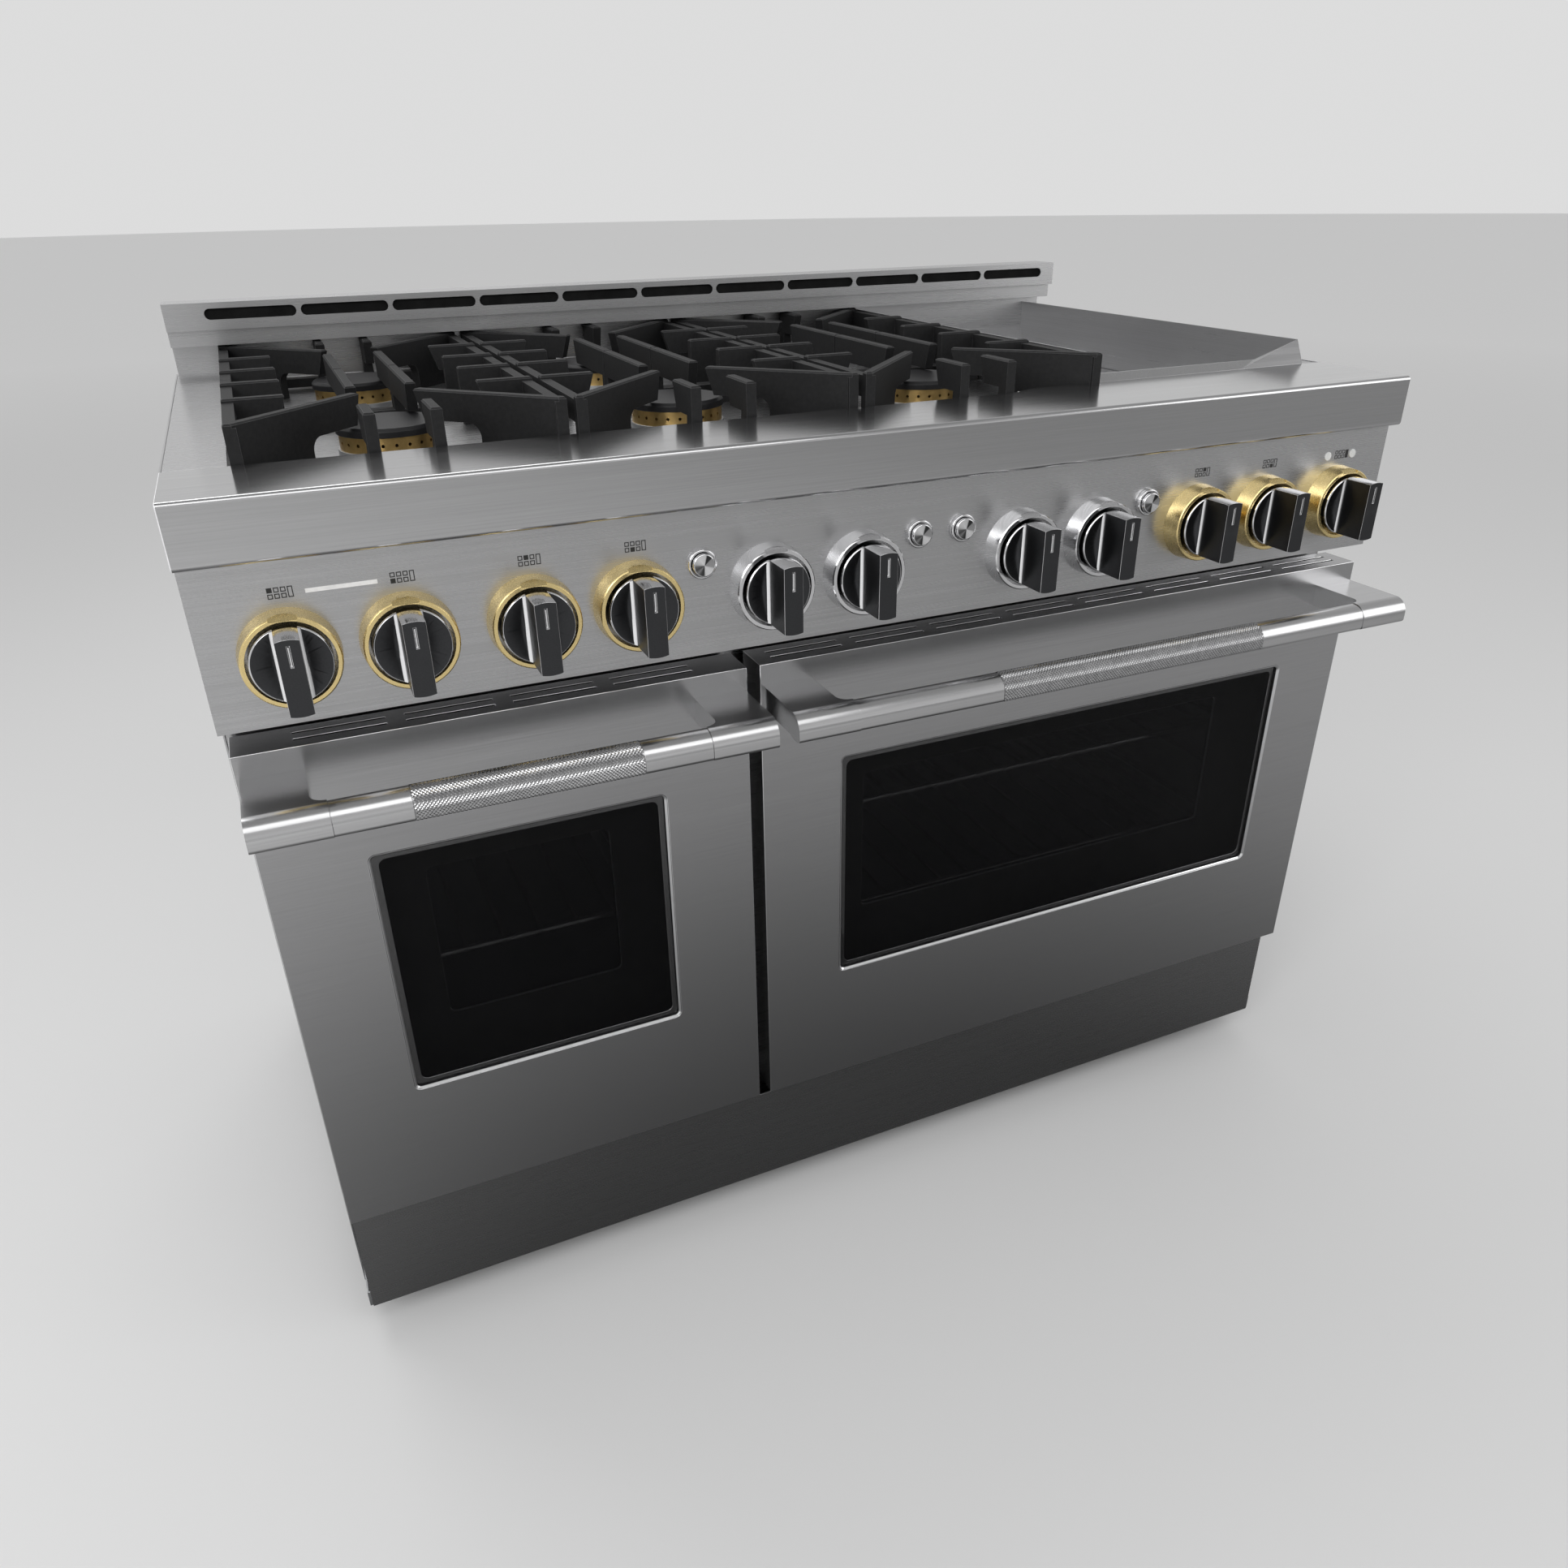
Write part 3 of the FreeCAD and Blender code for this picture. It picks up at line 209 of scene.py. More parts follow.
# the turned end of a round part, its painted sheen in light and dark wedges round the
# front-to-back line
def turnedEndPaintedSheen(name, paintedWedges, rough):
    finish = turnedMetal(name, metalTones["chrome"], rough)
    where = addNode(finish, "ShaderNodeTexCoord")
    parts = addNode(finish, "ShaderNodeSeparateXYZ")
    flat = addNode(finish, "ShaderNodeCombineXYZ")
    join(finish, where.outputs["Generated"], parts.inputs["Vector"])
    for axis, socket in (("X", "X"), ("Z", "Y")):
        middle = addNode(finish, "ShaderNodeMath", operation="SUBTRACT")
        middle.inputs[1].default_value = 0.5
        join(finish, parts.outputs[axis], middle.inputs[0])
        join(finish, middle.outputs[0], flat.inputs[socket])
    around = addNode(finish, "ShaderNodeTexGradient", gradient_type="RADIAL")
    ramp = addNode(finish, "ShaderNodeValToRGB")
    join(finish, flat.outputs["Vector"], around.inputs["Vector"])
    join(finish, around.outputs["Fac"], ramp.inputs["Fac"])
    setStops(ramp, [(at, (value, value, value * 1.01)) for at, value in paintedWedges])
    join(finish, ramp.outputs["Color"],
         finish.node_tree.nodes["Principled BSDF"].inputs["Base Color"])
    return finish


# cast, painted or moulded surfaces: two tones and a fine uneven skin
def speckled(name, dark, light, rough, size, height, metallic=0.0, **sockets):
    finish = newFinish(name, Metallic=metallic, Roughness=rough, **sockets)
    shader = finish.node_tree.nodes["Principled BSDF"]
    coarse = grain(finish, (size / finishing["coarsening"],) * 3, 3.0)
    fine = grain(finish, (size,) * 3, 4.0, 0.6)
    tone(finish, coarse, dark, light)
    bright, matt = finishing["speckledSheens"]
    join(finish, spread(finish, fine, rough * bright, min(1, rough * matt)),
         shader.inputs["Roughness"])
    relief(finish, fine, height, finishing["speckledRelief"])
    return finish


metalTones = {
    "panel": (0.50, 0.50, 0.505),
    "rail": (0.54, 0.54, 0.545),
    # painted shade: the doors are the same steel painted darker, for the dark floor they reflect
    "door": (0.44, 0.44, 0.445),
    # the kick plate: a darker steel, and darker still as painted shade for the shadow under the
    # doors
    "kick": (0.34, 0.34, 0.343),
    # painted shade: the tub's folded corner is the same sheet painted darker against the lamps'
    # highlight
    "fold": (0.19, 0.19, 0.192),
    "handle": (0.56, 0.56, 0.565),
    "chrome": (0.70, 0.70, 0.71),
    # the knobs' faces: partly a dark metal, partly a painted reflection of dark surroundings
    "darkFaceAndPaintedReflection": (0.06, 0.061, 0.064),
}
# brushed and turned metals: name, tone, roughness, how far reflections are drawn out
steelSheet = brushed("steel_sheet", metalTones["panel"], 0.28)
steelSheetUpright = brushed("steel_sheet_side", metalTones["panel"], 0.30, along=(0.05, 1, 0.04))
railSteel = brushed("rail_steel", metalTones["rail"], 0.17)
handleSteel = brushed("handle_steel", metalTones["handle"], 0.20, drawn=0.4)
doorPaintedShadeSteel = brushed("door_steel_painted_shade", metalTones["door"], 0.24)
foldPaintedShadeSteel = brushed("folded_steel_painted_shade", metalTones["fold"], 0.38)
kickDarkSteelAndShade = brushed("kick_dark_steel_and_painted_shade", metalTones["kick"], 0.28, depth=1e-6, lines=1400)
chrome = turnedMetal("bright_chrome", metalTones["chrome"], 0.11, 0.2)
darkFaceAndPaintedReflection = turnedMetal("dark_knob_face_and_painted_reflection", metalTones["darkFaceAndPaintedReflection"], 0.38, 0.4)
buttonPaintedSheenFace = turnedEndPaintedSheen("turned_button_face_painted_sheen", [
    # painted sheen: how far round from the left by way of the bottom, and how light it is painted
    (0.0, 0.20), (0.06, 0.10), (0.12, 0.30), (0.17, 0.10), (0.23, 0.05), (0.26, 0.85),
    (0.36, 0.95), (0.43, 0.85), (0.46, 0.45), (0.60, 0.40), (0.625, 0.06), (0.70, 0.05),
    (0.725, 0.80), (0.85, 0.95), (0.95, 0.70), (1.0, 0.20)], 0.22)
# speckled: name, dark and light tone, roughness, grains per metre, relief in metres
polishedEdge = speckled("polished_edge", (0.80, 0.80, 0.81), (0.86, 0.86, 0.87), 0.15, 600, 1e-6,
                        metallic=1.0)
brass = speckled("satin_brass", (0.84, 0.66, 0.31), (0.88, 0.70, 0.34), 0.27, 900, 3e-7,
                 metallic=1.0)
portBrass = speckled("burner_brass", (0.60, 0.40, 0.15), (0.72, 0.50, 0.20), 0.34, 700, 8e-6,
                     metallic=1.0)
zincSheet = speckled("zinc_sheet", (0.50, 0.51, 0.52), (0.60, 0.61, 0.62), 0.42, 160, 6e-6,
                     metallic=1.0)
castIron = speckled("cast_iron", (0.009, 0.009, 0.0095), (0.014, 0.014, 0.0145), 0.62, 1300,
                    9e-5, Specular_IOR_Level=0.28)
# the grates' rounded edges: lighter partly by wear, partly as a painted highlight on the chamfers
wornIronAndPaintedHighlight = speckled("iron_edge_wear_and_painted_highlight", (0.06, 0.06, 0.062), (0.09, 0.09, 0.093), 0.42, 1300, 4e-5,
                    Specular_IOR_Level=0.4)
capEnamel = speckled("cap_enamel", (0.008, 0.008, 0.009), (0.012, 0.012, 0.013), 0.46, 900, 2e-5,
                     Specular_IOR_Level=0.35)
ovenEnamel = speckled("oven_enamel", (0.034, 0.035, 0.038), (0.052, 0.053, 0.057), 0.30, 500, 1e-5)
griddleSteel = brushed("griddle_steel", (0.42, 0.42, 0.425), 0.30, along=(0.05, 1, 0.04),
                       lines=700)
rackWire = speckled("rack_wire", (0.60, 0.60, 0.61), (0.68, 0.68, 0.69), 0.2, 500, 2e-6,
                    metallic=1.0)
rubber = speckled("black_rubber", (0.018, 0.018, 0.018), (0.030, 0.030, 0.030), 0.7, 700, 3e-5)
knurledSteel = speckled("knurled_steel", (0.34, 0.34, 0.345), (0.44, 0.44, 0.445), 0.17, 900,
                        2e-6, metallic=1.0)
# painted highlight: the rail's rounded edges are pale and partly diffuse, so they look lit even
# where they face down
paintedHighlightEdge = speckled("rail_edge_painted_highlight", (0.82, 0.82, 0.83), (0.90, 0.90, 0.91), 0.42, 500, 1e-6,
                    metallic=0.3)
# black frit on the liners' fronts, and painted shade on the sheets behind the vent slots
blackFritAndPaintedShade = speckled("black_frit_and_painted_shade", (0.006, 0.006, 0.006), (0.010, 0.010, 0.010), 0.9, 300,
                       2e-5, Specular_IOR_Level=0.1)
blackInk = speckled("black_ink", (0.010, 0.010, 0.010), (0.016, 0.016, 0.016), 0.5, 900, 1e-6)
whiteInk = speckled("white_ink", (0.72, 0.72, 0.72), (0.80, 0.80, 0.80), 0.5, 900, 1e-6)
blackPlastic = speckled("black_plastic", (0.022, 0.022, 0.024), (0.032, 0.032, 0.034), 0.45,
                        600, 1e-5)
lampLens = speckled("lamp_lens", (0.62, 0.63, 0.63), (0.72, 0.73, 0.73), 0.25, 500, 2e-6)
ovenGlass = speckled("oven_glass", (0.003, 0.003, 0.0035), (0.005, 0.005, 0.0055), 0.04, 20, 0,
                     Alpha=0.34, Specular_IOR_Level=0.2)
print("range: finishes made")


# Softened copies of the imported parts

# the separate solids of a mesh, as lists of faces
def islands(work):
    waiting = set(work.faces)
    while waiting:
        first = waiting.pop()
        island, border = [first], [first]
        while border:
            for side in border.pop().edges:
                for face in side.link_faces:
                    if face in waiting:
                        waiting.remove(face)
                        island.append(face)
                        border.append(face)
        yield island


# quads between loops of points, each loop to the next
def joinLoops(work, loops):
    for a, b in zip(loops, loops[1:]):
        for i in range(len(a)):
            j = (i + 1) % len(a)
            work.faces.new((a[i], a[j], b[j], b[i]))


# the work as a mesh that faces outwards, smooth up to an angle in degrees if one is given
def finishMesh(work, name, smoothTo=None):
    bmesh.ops.recalc_face_normals(work, faces=work.faces[:])
    for face in work.faces:
        face.smooth = smoothTo is not None
    mesh = bpy.data.meshes.new(name)
    work.to_mesh(mesh)
    work.free()
    if smoothTo is not None:
        mesh.set_sharp_from_angle(angle=math.radians(smoothTo))
    return mesh


def place(mesh, name, body, slotName, finishes):
    part = bpy.data.objects.new(name, mesh)
    bpy.context.scene.collection.objects.link(part)
    for finish in finishes:
        mesh.materials.append(finish)
    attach(part, body)
    return part


softening = {
    "weld": 3e-6, "flat": 0.5,         # metres between points, degrees between flat faces
    "sharp": 32, "crease": 50,         # degrees from which edges are rounded, and stay sharp
    # millimetres
    "door": 0.6, "tub": 0.5, "rail": 0.9, "panel": 0.6, "grate": 0.8, "knob": 0.7,
    "button": 0.4, "collar": 0.5, "handle": 0.5, "glass": 0.4, "backing": 0.4,
}


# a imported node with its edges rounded; edge is the finish of the rounding, pick gives a face's,
# each test in parts picks the faces of one solid, where solids touch, and reshape moves points
def softCopy(node, name, slotName, finishes, width, steps=2, edge=-1, pick=None,
             parts=(None,), reshape=None):
    source = nodes[node]
    mesh = bpy.data.meshes.new(name)
    for belongs in parts:
        work = bmesh.new()
        work.from_mesh(source.data)
        for vert in work.verts if reshape else ():
            reshape(vert)
        if belongs:
            others = [face for face in work.faces if not belongs(face)]
            bmesh.ops.delete(work, geom=others, context="FACES")
        bmesh.ops.remove_doubles(work, verts=work.verts[:], dist=softening["weld"])
        bmesh.ops.dissolve_limit(work, angle_limit=math.radians(softening["flat"]),
                                 verts=work.verts[:], edges=work.edges[:])
        for face in work.faces:
            face.material_index = pick(face) if pick else 0
        limit = math.radians(softening["sharp"])
        for island in list(islands(work)):
            sharp = {side for face in island if face.is_valid for side in face.edges
                     if len(side.link_faces) == 2 and side.calc_face_angle(0) > limit}
            if sharp:
                bmesh.ops.bevel(work, geom=list(sharp), offset=width * mm, segments=steps,
                                profile=0.5, affect="EDGES", clamp_overlap=True, material=edge)
        if len(mesh.vertices):
            work.from_mesh(mesh)
        for face in work.faces:
            face.smooth = True
        work.to_mesh(mesh)
        work.free()
    part = place(mesh, name, source["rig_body"], slotName, finishes)
    mesh.set_sharp_from_angle(angle=math.radians(softening["crease"]))
    even = part.modifiers.new("even_shading", "WEIGHTED_NORMAL")
    even.keep_sharp = True
    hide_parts(node)
    return part


# 1 for the faces that look straight forward
def frontFace(face):
    return 1 if face.normal.y < -0.9 else 0


# 1 for the faces that look forward and lean back, which get the painted shade
def paintedShadeFoldFace(face):
    return 1 if face.normal.y < -0.8 and face.normal.z > 0.3 else 0


def dress(node, finish):
    part = nodes[node]
    part.data.materials.clear()
    part.data.materials.append(finish)


sheetParts = {
    # node: (name, slot, finish, edge radius)
    "side_panels": ("sidePanels", "steel", steelSheetUpright, 0.5),
    "back_panel": ("backPanel", "zinc_steel", zincSheet, 0.4),
    "base_pan": ("basePan", "zinc_steel", zincSheet, 0.4),
    "kick_plate": ("kickPlate", "steel", kickDarkSteelAndShade, 0.5),
    "front_frame": ("frontFrame", "steel", steelSheet, 0.5),
    "burner_deck": ("burnerDeck", "steel", steelSheet, 0.5),
    "backguard": ("backguard", "steel", steelSheet, 0.5),
    "griddle_plate": ("griddlePlate", "griddle_steel", griddleSteel, 0.8),
    "leveling_legs": ("levelingLegs", "foot", zincSheet, 0.5),
    "burner_bases": ("burnerBases", "black_iron", zincSheet, 0.5),
    "burner_rings": ("burnerRings", "brass", portBrass, 0.3),
    "burner_caps": ("burnerCaps", "black_iron", capEnamel, 0.6),
    "indicator_lamps": ("indicatorLamps", "lamp", lampLens, 0.3),
}
for node, (name, slotName, finish, width) in sheetParts.items():
    softCopy(node, name, slotName, [finish], width)
for side in ("left", "right"):
    softCopy(f"door_{side}_skin", f"door{side.title()}Skin", "steel", [doorPaintedShadeSteel, polishedEdge],
             softening["door"], edge=1)
    # the pane is painted black where it covers the liner, so the liner's front is black
    softCopy(f"door_{side}_liner", f"door{side.title()}Liner", "enamel",
             [ovenEnamel, blackFritAndPaintedShade], softening["door"], edge=0, pick=frontFace)
# painted shade: the tub's folded front corner faces the lamps, so the same sheet is painted darker
# there
softCopy("griddle_tub", "griddleTub", "griddle_steel", [steelSheetUpright, foldPaintedShadeSteel],
         softening["tub"], edge=0, pick=paintedShadeFoldFace)
softCopy("landing_rail", "landingRail", "rail_steel", [railSteel, paintedHighlightEdge], softening["rail"],
         edge=1)
softCopy("control_panel", "controlPanel", "steel", [steelSheet, polishedEdge],
         softening["panel"], edge=1)
for side in ("left", "center", "right"):
    softCopy(f"grate_{side}", f"grate{side.title()}", "black_iron", [castIron, wornIronAndPaintedHighlight],
             softening["grate"], edge=1)
print("range: sheet parts, doors and castings softened")


# Knobs, collars and push buttons

knob = {
    # dark are the faces near the front that look forward or sideways by at least this much
    "darkDepth": 40, "darkForward": 0.75, "darkSideways": 0.95,
    "discBack": 32, "discRadius": 30.2,
    # a land's section: across from the knob's middle, and in front of the disc
    "land": [(8.7, 1.2), (9.4, 1.152), (10.4, 0.72), (11.4, 0.12), (11.8, -0.3), (11.8, -5),
             (8.7, -5)],
    "pointerWidth": 1.2, "pointerLow": 10.2, "pointerHigh": 25, "pointerThick": 0.6,
    "pointerSunk": 0.25, "pointerRound": 0.45,
    "dot": 1.05, "dotSunk": 0.5, "dotFlat": 0.5,
    "smoothTo": 40,
}


# the dark faces of a knob, the dished disc and the grip's front and sides: dark metal and painted
# reflection
def knobFace(front):
    def pick(face):
        facing = (face.normal.y < -knob["darkForward"]
                  or abs(face.normal.x) > knob["darkSideways"])
        depth = face.calc_center_median().y - front
        return 1 if facing and depth < knob["darkDepth"] * mm else 0
    return pick


# bright lands beside the blade's root and a raised line with a dot in the pointer's groove
def addKnobTrim(name, node):
    low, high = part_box(node)
    middle, line = (low.x + high.x) / 2, (low.z + high.z) / 2
    disc = low.y + knob["discBack"] * mm
    work = bmesh.new()
    for side in (-1, 1):
        rings = []
        for end in (-1, 1):
            ring = []
            for across, rise in knob["land"]:
                reach = math.sqrt(knob["discRadius"] ** 2 - across ** 2)
                ring.append(work.verts.new((middle + side * across * mm, disc - rise * mm,
                                            line + end * reach * mm)))
            rings.append(ring)
            work.faces.new(ring)
        joinLoops(work, rings)
    front = low.y + knob["pointerSunk"] * mm
    foot = line + knob["pointerLow"] * mm
    tall = (knob["pointerHigh"] - knob["pointerLow"]) * mm
    bar = bmesh.ops.create_cube(work, size=1)["verts"]
    for vert in bar:
        vert.co = (middle + vert.co.x * knob["pointerWidth"] * mm,
                   front + (vert.co.y + 0.5) * knob["pointerThick"] * mm,
                   foot + (vert.co.z + 0.5) * tall)
    upright = [side for side in {e for vert in bar for e in vert.link_edges}
               if abs(side.verts[0].co.z - side.verts[1].co.z) > mm
               and side.verts[0].co.y < front + samePlane]
    bmesh.ops.bevel(work, geom=upright, offset=knob["pointerRound"] * mm, segments=3,
                    profile=0.5, affect="EDGES")
    dot = bmesh.ops.create_uvsphere(work, u_segments=20, v_segments=10,
                                    radius=knob["dot"] * mm)["verts"]
    for vert in dot:
        vert.co = (middle + vert.co.x,
                   front + knob["dotSunk"] * mm + vert.co.y * knob["dotFlat"],
                   foot + vert.co.z)
    mesh = finishMesh(work, name, knob["smoothTo"])
    return place(mesh, name, nodes[node]["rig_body"], "bright_trim", [polishedEdge])


def addKnob(kind, number):
    node = f"{kind}_knob_{number}"
    softCopy(node, f"{kind}Knob{number}", "bright_trim", [chrome, darkFaceAndPaintedReflection],
             softening["knob"], edge=0, pick=knobFace(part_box(node)[0].y))
    addKnobTrim(f"{kind}KnobTrim{number}", node)


for number in range(1, 8):
    addKnob("gas", number)
    dress(f"gas_stem_{number}", zincSheet)
for number in range(1, 5):
    addKnob("oven", number)
    softCopy(f"button_{number}", f"button{number}", "bright_trim", [chrome, buttonPaintedSheenFace],
             softening["button"], edge=0, pick=frontFace)
softCopy("brass_bezels", "brassCollars", "brass", [brass], softening["collar"])
softCopy("steel_bezels", "steelCollars", "bright_trim", [chrome], softening["collar"])
print("range: knobs, collars and buttons made")


# Handles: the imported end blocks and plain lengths, with a knurled grip as the middle length

knurl = {"pitch": 3.2, "depth": 0.6, "roundTop": 16, "roundLow": 4, "roundSteps": 30}


# points over the top, front and underside of the bar at even steps, with their outward directions
def barOutline(low, high, spacing):
    top, bottom = knurl["roundTop"] * mm, knurl["roundLow"] * mm
    line = [Vector((high.y, high.z))]
    for centre, radius, start in (((low.y + top, high.z - top), top, 90),
                                  ((low.y + bottom, low.z + bottom), bottom, 180)):
        for step in range(knurl["roundSteps"] + 1):
            turn = math.radians(start + 90 / knurl["roundSteps"] * step)
            line.append(Vector(centre) + Vector((math.cos(turn), math.sin(turn))) * radius)
    line.append(Vector((high.y, low.z)))
    total = sum((b - a).length for a, b in zip(line, line[1:]))
    count = 2 * round(total / spacing / 2)
    points, wanted, passed = [], 0.0, 0.0
    for a, b in zip(line, line[1:]):
        length = (b - a).length
        along = (b - a).normalized()
        while wanted <= passed + length + 1e-9 and len(points) <= count:
            points.append((a + along * (wanted - passed), Vector((along.y, -along.x))))
            wanted += total / count
        passed += length
    return points


def addGrip(name, node, low, high):
    spacing = knurl["pitch"] * mm / 2
    outline = barOutline(low, high, spacing)
    rows = len(outline)
    columns = 2 * round((high.x - low.x) / spacing / 2)
    work = bmesh.new()
    grid = []
    for i in range(columns + 1):
        column = []
        for j, (point, outward) in enumerate(outline):
            rim = i in (0, columns) or j in (0, rows - 1)
            sunk = knurl["depth"] * mm if rim or (i + j) % 2 == 0 else 0
            where = point - outward * sunk
            column.append(work.verts.new((low.x + (high.x - low.x) * i / columns, *where)))
        grid.append(column)
    for i in range(columns):
        here, there = grid[i], grid[i + 1]
        for j in range(rows - 1):
            a, b, c, d = here[j], here[j + 1], there[j], there[j + 1]
            split = ((a, c, d), (a, d, b)) if (i + j) % 2 == 0 else ((a, c, b), (b, c, d))
            for corners in split:
                work.faces.new(corners)
        work.faces.new((here[0], there[0], there[-1], here[-1]))
    work.faces.new(grid[0])
    work.faces.new(grid[-1])
    return place(finishMesh(work, name), name, nodes[node]["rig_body"], "handle_steel",
                 [knurledSteel])


# a test for the faces of the solid between two planes across the handle
def between(start, end):
    def belongs(face):
        at = face.calc_center_median().x
        return (start + samePlane < at < end - samePlane
                or (abs(at - start) < samePlane and face.normal.x < 0)
                or (abs(at - end) < samePlane and face.normal.x > 0))
    return belongs


for side in ("left", "right"):
    node = f"door_{side}_handle"
    work = bmesh.new()
    work.from_mesh(nodes[node].data)
    planes = sorted({round(face.calc_center_median().x, 5) for face in work.faces
                     if abs(face.normal.x) > 0.999})
    # the planes are an end, a post's inner side and a seam, then the grip's ends, then as many
    seams = [planes[0], *planes[2:-2], planes[-1]]
    inGrip = between(seams[2], seams[3])
    corners = [vert.co for face in work.faces if inGrip(face) for vert in face.verts]
    low, high = (Vector([pick(corner[axis] for corner in corners) for axis in range(3)])
                 for pick in (min, max))
    work.free()
    lengths = [between(*pair) for pair in zip(seams, seams[1:])]
    softCopy(node, f"door{side.title()}Handle", "handle_steel", [handleSteel],
             softening["handle"], parts=lengths[:2] + lengths[3:])
    addGrip(f"door{side.title()}Grip", node, low, high)
print("range: handles made")


# Windows: the outer pane set back, inside a polished bevel round the opening

window = {
    "insetAcross": 86, "insetTop": 113.5, "insetLow": 142.5, "corner": 7, "cornerSteps": 8,
    "setBack": 1.4, "smoothTo": 25,
    # the bevel's section, as millimetres in from the opening's edge and back from the face
    "section": [(0.0, 0.0), (0.25, 0.0), (0.5, 0.06), (2.0, 1.25), (2.2, 1.42), (2.2, 1.6),
                (0.0, 1.6)],
}


def addWindowBevel(name, body, low, high):
    work = bmesh.new()
    corner = window["corner"] * mm
    rings = []
    for inward, back in window["section"]:
        ring = []
        radius = (window["corner"] - inward) * mm
        for right, up, start in ((1, 1, 0), (0, 1, 90), (0, 0, 180), (1, 0, 270)):
            centre = (high.x - corner if right else low.x + corner,
                      high.z - corner if up else low.z + corner)
            for step in range(window["cornerSteps"] + 1):
                turn = math.radians(start + 90 / window["cornerSteps"] * step)
                ring.append(work.verts.new((centre[0] + math.cos(turn) * radius,
                                            low.y + back * mm,
                                            centre[1] + math.sin(turn) * radius)))
        rings.append(ring)
    joinLoops(work, rings + rings[:1])
    place(finishMesh(work, name, window["smoothTo"]), name, body, "bright_trim", [polishedEdge])


for side in ("left", "right"):
    low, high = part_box(f"door_{side}_skin")

    def setBack(vert, face=low.y):
        if abs(vert.co.y - face) < samePlane:
            vert.co.y += window["setBack"] * mm

    softCopy(f"door_{side}_glass", f"door{side.title()}Glass", "window_glass", [ovenGlass],
             softening["glass"], steps=1, reshape=setBack)
    opening = (Vector((low.x + window["insetAcross"] * mm, low.y,
                       low.z + window["insetLow"] * mm)),
               Vector((high.x - window["insetAcross"] * mm, low.y,
                       high.z - window["insetTop"] * mm)))
    addWindowBevel(f"door{side.title()}WindowBevel", f"door_{side}", *opening)
print("range: windows made")


# Printed marks, and painted shade: dark sheets behind the vent slots that keep them black

marks = {
    "face": -304.0, "thick": 0.12,
    "low": 831.1, "left": -7.2, "cell": 3.9, "gap": 1.05, "line": 0.75,
    "bar": (-521.4, -467.9, 832.8, 836.2),
}


# a flat mark on the panel, with a hole in it when line is given
def addMark(work, left, right, low, high, line=None):
    back, front = marks["face"], marks["face"] - marks["thick"]

    def loop(inset, y):
        corners = ((left + inset, low + inset), (right - inset, low + inset),
                   (right - inset, high - inset), (left + inset, high - inset))
        return [work.verts.new((x * mm, y * mm, z * mm)) for x, z in corners]

    if line is None:
        loops = [loop(0, front), loop(0, back)]
        work.faces.new(loops[0])
        work.faces.new(loops[1])
    else:
        loops = [loop(0, front), loop(line, front), loop(line, back), loop(0, back)]
        loops.append(loops[0])
    joinLoops(work, loops)


# one cell per burner, three across and two up, and a tall one for the griddle
work = bmesh.new()
for number in range(1, 8):
    low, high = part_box(f"gas_knob_{number}")
    middle = (low.x + high.x) / 2 / mm
    step = marks["cell"] + marks["gap"]
    for cell in range(7):
        left = middle + marks["left"] + step * (cell // 2)
        low = marks["low"] + (step if cell in (0, 2, 4) else 0)
        high = low + marks["cell"] + (step if cell == 6 else 0)
        addMark(work, left, left + marks["cell"], low, high,
                None if cell == number - 1 else marks["line"])
place(finishMesh(work, "burnerMarks"), "burnerMarks", "cabinet", None, [blackInk])
work = bmesh.new()
addMark(work, *marks["bar"])
place(finishMesh(work, "panelBar"), "panelBar", "cabinet", None, [whiteInk])

paintedShadeBackings = [
    # name, body, low corner, high corner in millimetres
    ("backguardPaintedShade", "cabinet", (-600, 340, 972), (600, 343, 991)),
    ("doorLeftVentPaintedShade", "door_left", (-598, -297, 703.4), (-163, -256, 705.0)),
    ("doorRightVentPaintedShade", "door_right", (-140, -297, 703.4), (598, -256, 705.0)),
]
for name, body, low, high in paintedShadeBackings:
    work = bmesh.new()
    for vert in bmesh.ops.create_cube(work, size=1)["verts"]:
        vert.co = [(a + (b - a) * (c + 0.5)) * mm for a, b, c in zip(low, high, vert.co)]
    bmesh.ops.bevel(work, geom=work.edges[:], offset=softening["backing"] * mm, segments=2,
                    profile=0.5, affect="EDGES")
    place(finishMesh(work, name), name, body, None, [blackFritAndPaintedShade])
print("range: marks and slot backings made")

carriedOver = {
    "oven_liner_left": ovenEnamel, "oven_liner_right": ovenEnamel,
    "rack_left": rackWire, "rack_right_lower": rackWire, "rack_right_upper": rackWire,
    "gas_manifold": portBrass, "oven_controls": blackPlastic, "hinge_brackets": zincSheet,
    "oven_gaskets": rubber,
}
for node, finish in carriedOver.items():
    dress(node, finish)


# Studio

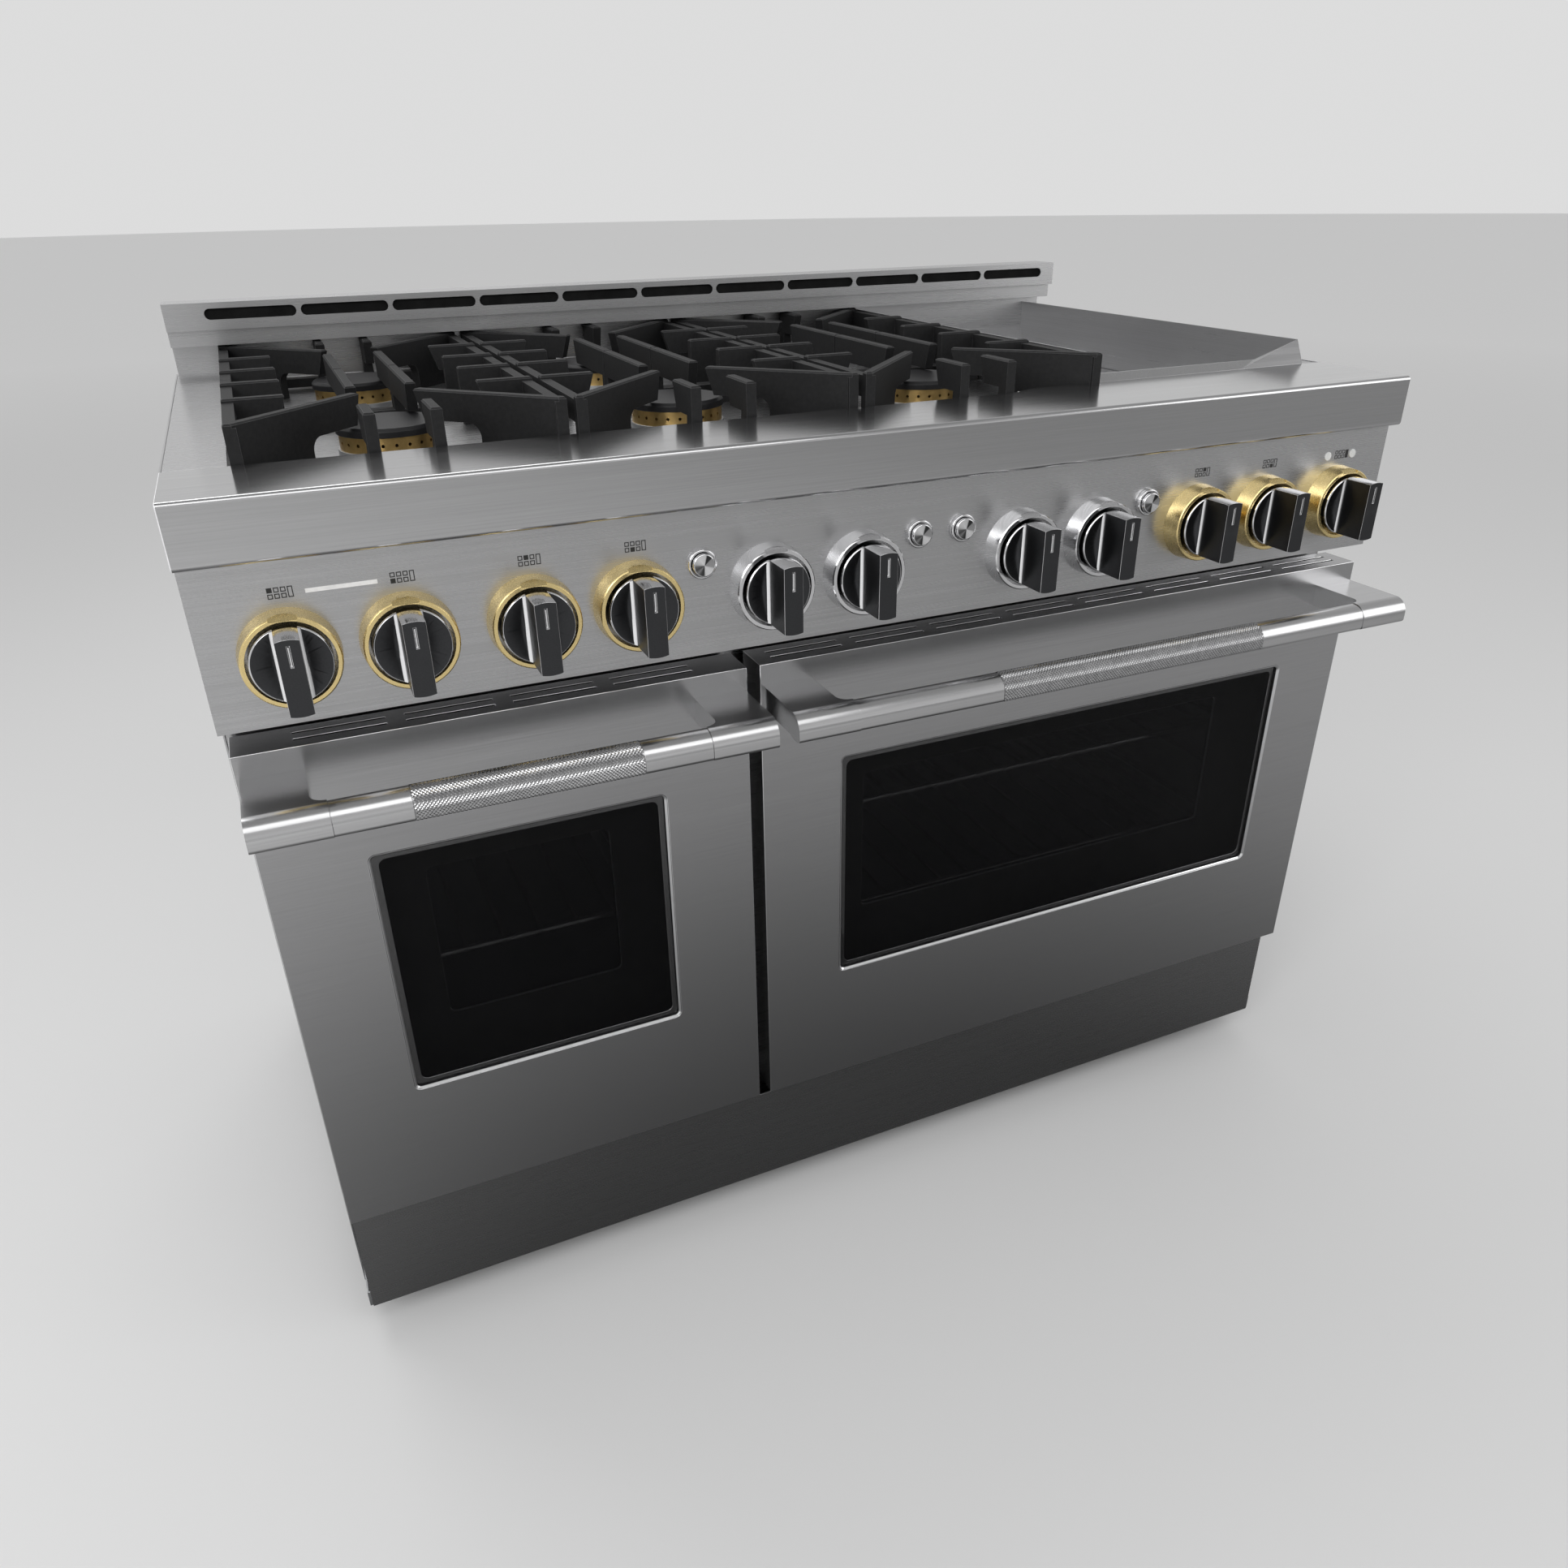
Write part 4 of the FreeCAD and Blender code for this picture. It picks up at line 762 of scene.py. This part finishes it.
studio = {
    "floorNear": (0.72, 0.72, 0.72),
    "floorFar": (0.93, 0.93, 0.93),
    "floorRadius": 40,
    "floorFade": (1.5, 9.0),           # distances where the near tone ends and the far one starts
    # painted shade in reflections: the floor's tone as the metal sees it, at growing distances
    "paintedFloorReflection": [(0.5, 0.10), (0.9, 0.24), (1.4, 0.50), (2.4, 0.80), (5.0, 0.92)],
    "paintedReflectionReach": 5,
    # and the shares of it that are seen at the left and at the right, and where those lie
    "paintedReflectionSides": (1.0, 0.5),
    "sidesAt": (-1.2, 2.4),
    "backdrop": 0.72,                  # what the camera and the metal see around the part, level
    "overhead": 0.34,                  # and straight above
    "heights": (0.15, 0.9),            # the upward share of the direction where each is reached
    "softLight": 0.74,                 # even light from all round
    "lamps": [
        # name, place, aim, size across and up, power
        ("keyLamp", (-2.6, -2.4, 2.6), (0, 0, 0.6), (1.6, 1.8), 42),
        ("fillLamp", (2.9, -2.2, 1.9), (0, 0, 0.5), (1.4, 1.8), 14),
        ("topLamp", (-0.6, 1.3, 2.9), (0, 0, 0.9), (2.4, 0.9), 22),
        ("frontLamp", (-0.2, -2.0, 2.8), (0, -0.3, 0.5), (2.6, 1.2), 16),
    ],
}

floorMesh = bpy.data.meshes.new("floor")
work = bmesh.new()
bmesh.ops.create_circle(work, cap_ends=True, segments=96, radius=studio["floorRadius"])
work.to_mesh(floorMesh)
work.free()
floor = bpy.data.objects.new("floor", floorMesh)
bpy.context.scene.collection.objects.link(floor)
floorFinish = newFinish("studio_floor", Roughness=0.8)
where = addNode(floorFinish, "ShaderNodeTexCoord")
reach = addNode(floorFinish, "ShaderNodeVectorMath", operation="LENGTH")
fade = addNode(floorFinish, "ShaderNodeMapRange", From_Min=studio["floorFade"][0],
               From_Max=studio["floorFade"][1], To_Min=noiseRange[0], To_Max=noiseRange[1])
join(floorFinish, where.outputs["Object"], reach.inputs[0])
join(floorFinish, reach.outputs["Value"], fade.inputs["Value"])
tone(floorFinish, fade.outputs["Result"], studio["floorNear"], studio["floorFar"])
# painted shade: mirrors see a floor painted darker towards the part and to the right
paintedFloorReflection = addNode(floorFinish, "ShaderNodeBsdfPrincipled", Roughness=0.9)
ramp = addNode(floorFinish, "ShaderNodeValToRGB")
setStops(ramp, [(distance / studio["paintedReflectionReach"], (value, value, value))
                for distance, value in studio["paintedFloorReflection"]])
join(floorFinish, scaled(floorFinish, reach.outputs["Value"], 1 / studio["paintedReflectionReach"]),
     ramp.inputs["Fac"])
across = addNode(floorFinish, "ShaderNodeSeparateXYZ")
join(floorFinish, where.outputs["Object"], across.inputs["Vector"])
sides = addNode(floorFinish, "ShaderNodeMapRange", From_Min=studio["sidesAt"][0],
                From_Max=studio["sidesAt"][1], To_Min=studio["paintedReflectionSides"][0],
                To_Max=studio["paintedReflectionSides"][1])
join(floorFinish, across.outputs["X"], sides.inputs["Value"])
product = addNode(floorFinish, "ShaderNodeVectorMath", operation="MULTIPLY")
join(floorFinish, ramp.outputs["Color"], product.inputs[0])
join(floorFinish, sides.outputs["Result"], product.inputs[1])
join(floorFinish, product.outputs["Vector"], paintedFloorReflection.inputs["Base Color"])
path = addNode(floorFinish, "ShaderNodeLightPath")
either = addNode(floorFinish, "ShaderNodeMixShader")
join(floorFinish, path.outputs["Is Glossy Ray"], either.inputs["Fac"])
join(floorFinish, floorFinish.node_tree.nodes["Principled BSDF"].outputs["BSDF"],
     either.inputs[1])
join(floorFinish, paintedFloorReflection.outputs["BSDF"], either.inputs[2])
join(floorFinish, either.outputs["Shader"],
     floorFinish.node_tree.nodes["Material Output"].inputs["Surface"])
floorMesh.materials.append(floorFinish)

# the camera, the metal and the glass see the backdrop, and all else gets the even light
world = bpy.data.worlds.new("studio")
bpy.context.scene.world = world
world.use_nodes = True
world.node_tree.nodes.clear()
ray = addNode(world, "ShaderNodeLightPath")
seen = addNode(world, "ShaderNodeMath", operation="MAXIMUM")
seenToo = addNode(world, "ShaderNodeMath", operation="MAXIMUM")
even = addNode(world, "ShaderNodeBackground", Strength=studio["softLight"])
pale = addNode(world, "ShaderNodeBackground")
heading = addNode(world, "ShaderNodeTexCoord")
height = addNode(world, "ShaderNodeSeparateXYZ")
shade = addNode(world, "ShaderNodeMapRange", From_Min=studio["heights"][0],
                From_Max=studio["heights"][1], To_Min=studio["backdrop"],
                To_Max=studio["overhead"])
blend = addNode(world, "ShaderNodeMixShader")
out = addNode(world, "ShaderNodeOutputWorld")
join(world, heading.outputs["Generated"], height.inputs["Vector"])
join(world, height.outputs["Z"], shade.inputs["Value"])
join(world, shade.outputs["Result"], pale.inputs["Color"])
join(world, ray.outputs["Is Camera Ray"], seen.inputs[0])
join(world, ray.outputs["Is Glossy Ray"], seen.inputs[1])
join(world, seen.outputs[0], seenToo.inputs[0])
join(world, ray.outputs["Is Transmission Ray"], seenToo.inputs[1])
join(world, seenToo.outputs[0], blend.inputs["Fac"])
join(world, even.outputs[0], blend.inputs[1])
join(world, pale.outputs[0], blend.inputs[2])
join(world, blend.outputs[0], out.inputs["Surface"])

for name, at, aim, (wide, tall), power in studio["lamps"]:
    lamp = bpy.data.lights.new(name, "AREA")
    lamp.shape = "RECTANGLE"
    lamp.size, lamp.size_y = wide, tall
    lamp.energy = power
    holder = bpy.data.objects.new(name, lamp)
    holder.location = at
    holder.rotation_euler = (Vector(aim) - Vector(at)).to_track_quat("-Z", "Y").to_euler()
    bpy.context.scene.collection.objects.link(holder)

view = {
    "place": (-0.527136, -1.240583, 1.109108),
    "turn": -23.31248, "tilt": 62.52039, "roll": -0.91345,
    "lens": 26.66, "sensor": 36,
}
lens = bpy.data.cameras.new("camera")
lens.lens, lens.sensor_width = view["lens"], view["sensor"]
camera = bpy.data.objects.new("camera", lens)
camera.matrix_world = (Matrix.Translation(view["place"])
                       @ Matrix.Rotation(math.radians(view["turn"]), 4, "Z")
                       @ Matrix.Rotation(math.radians(view["tilt"]), 4, "X")
                       @ Matrix.Rotation(math.radians(view["roll"]), 4, "Z"))
bpy.context.scene.collection.objects.link(camera)
bpy.context.scene.camera = camera
bpy.context.scene.view_settings.view_transform = "Standard"
print("range: studio set")
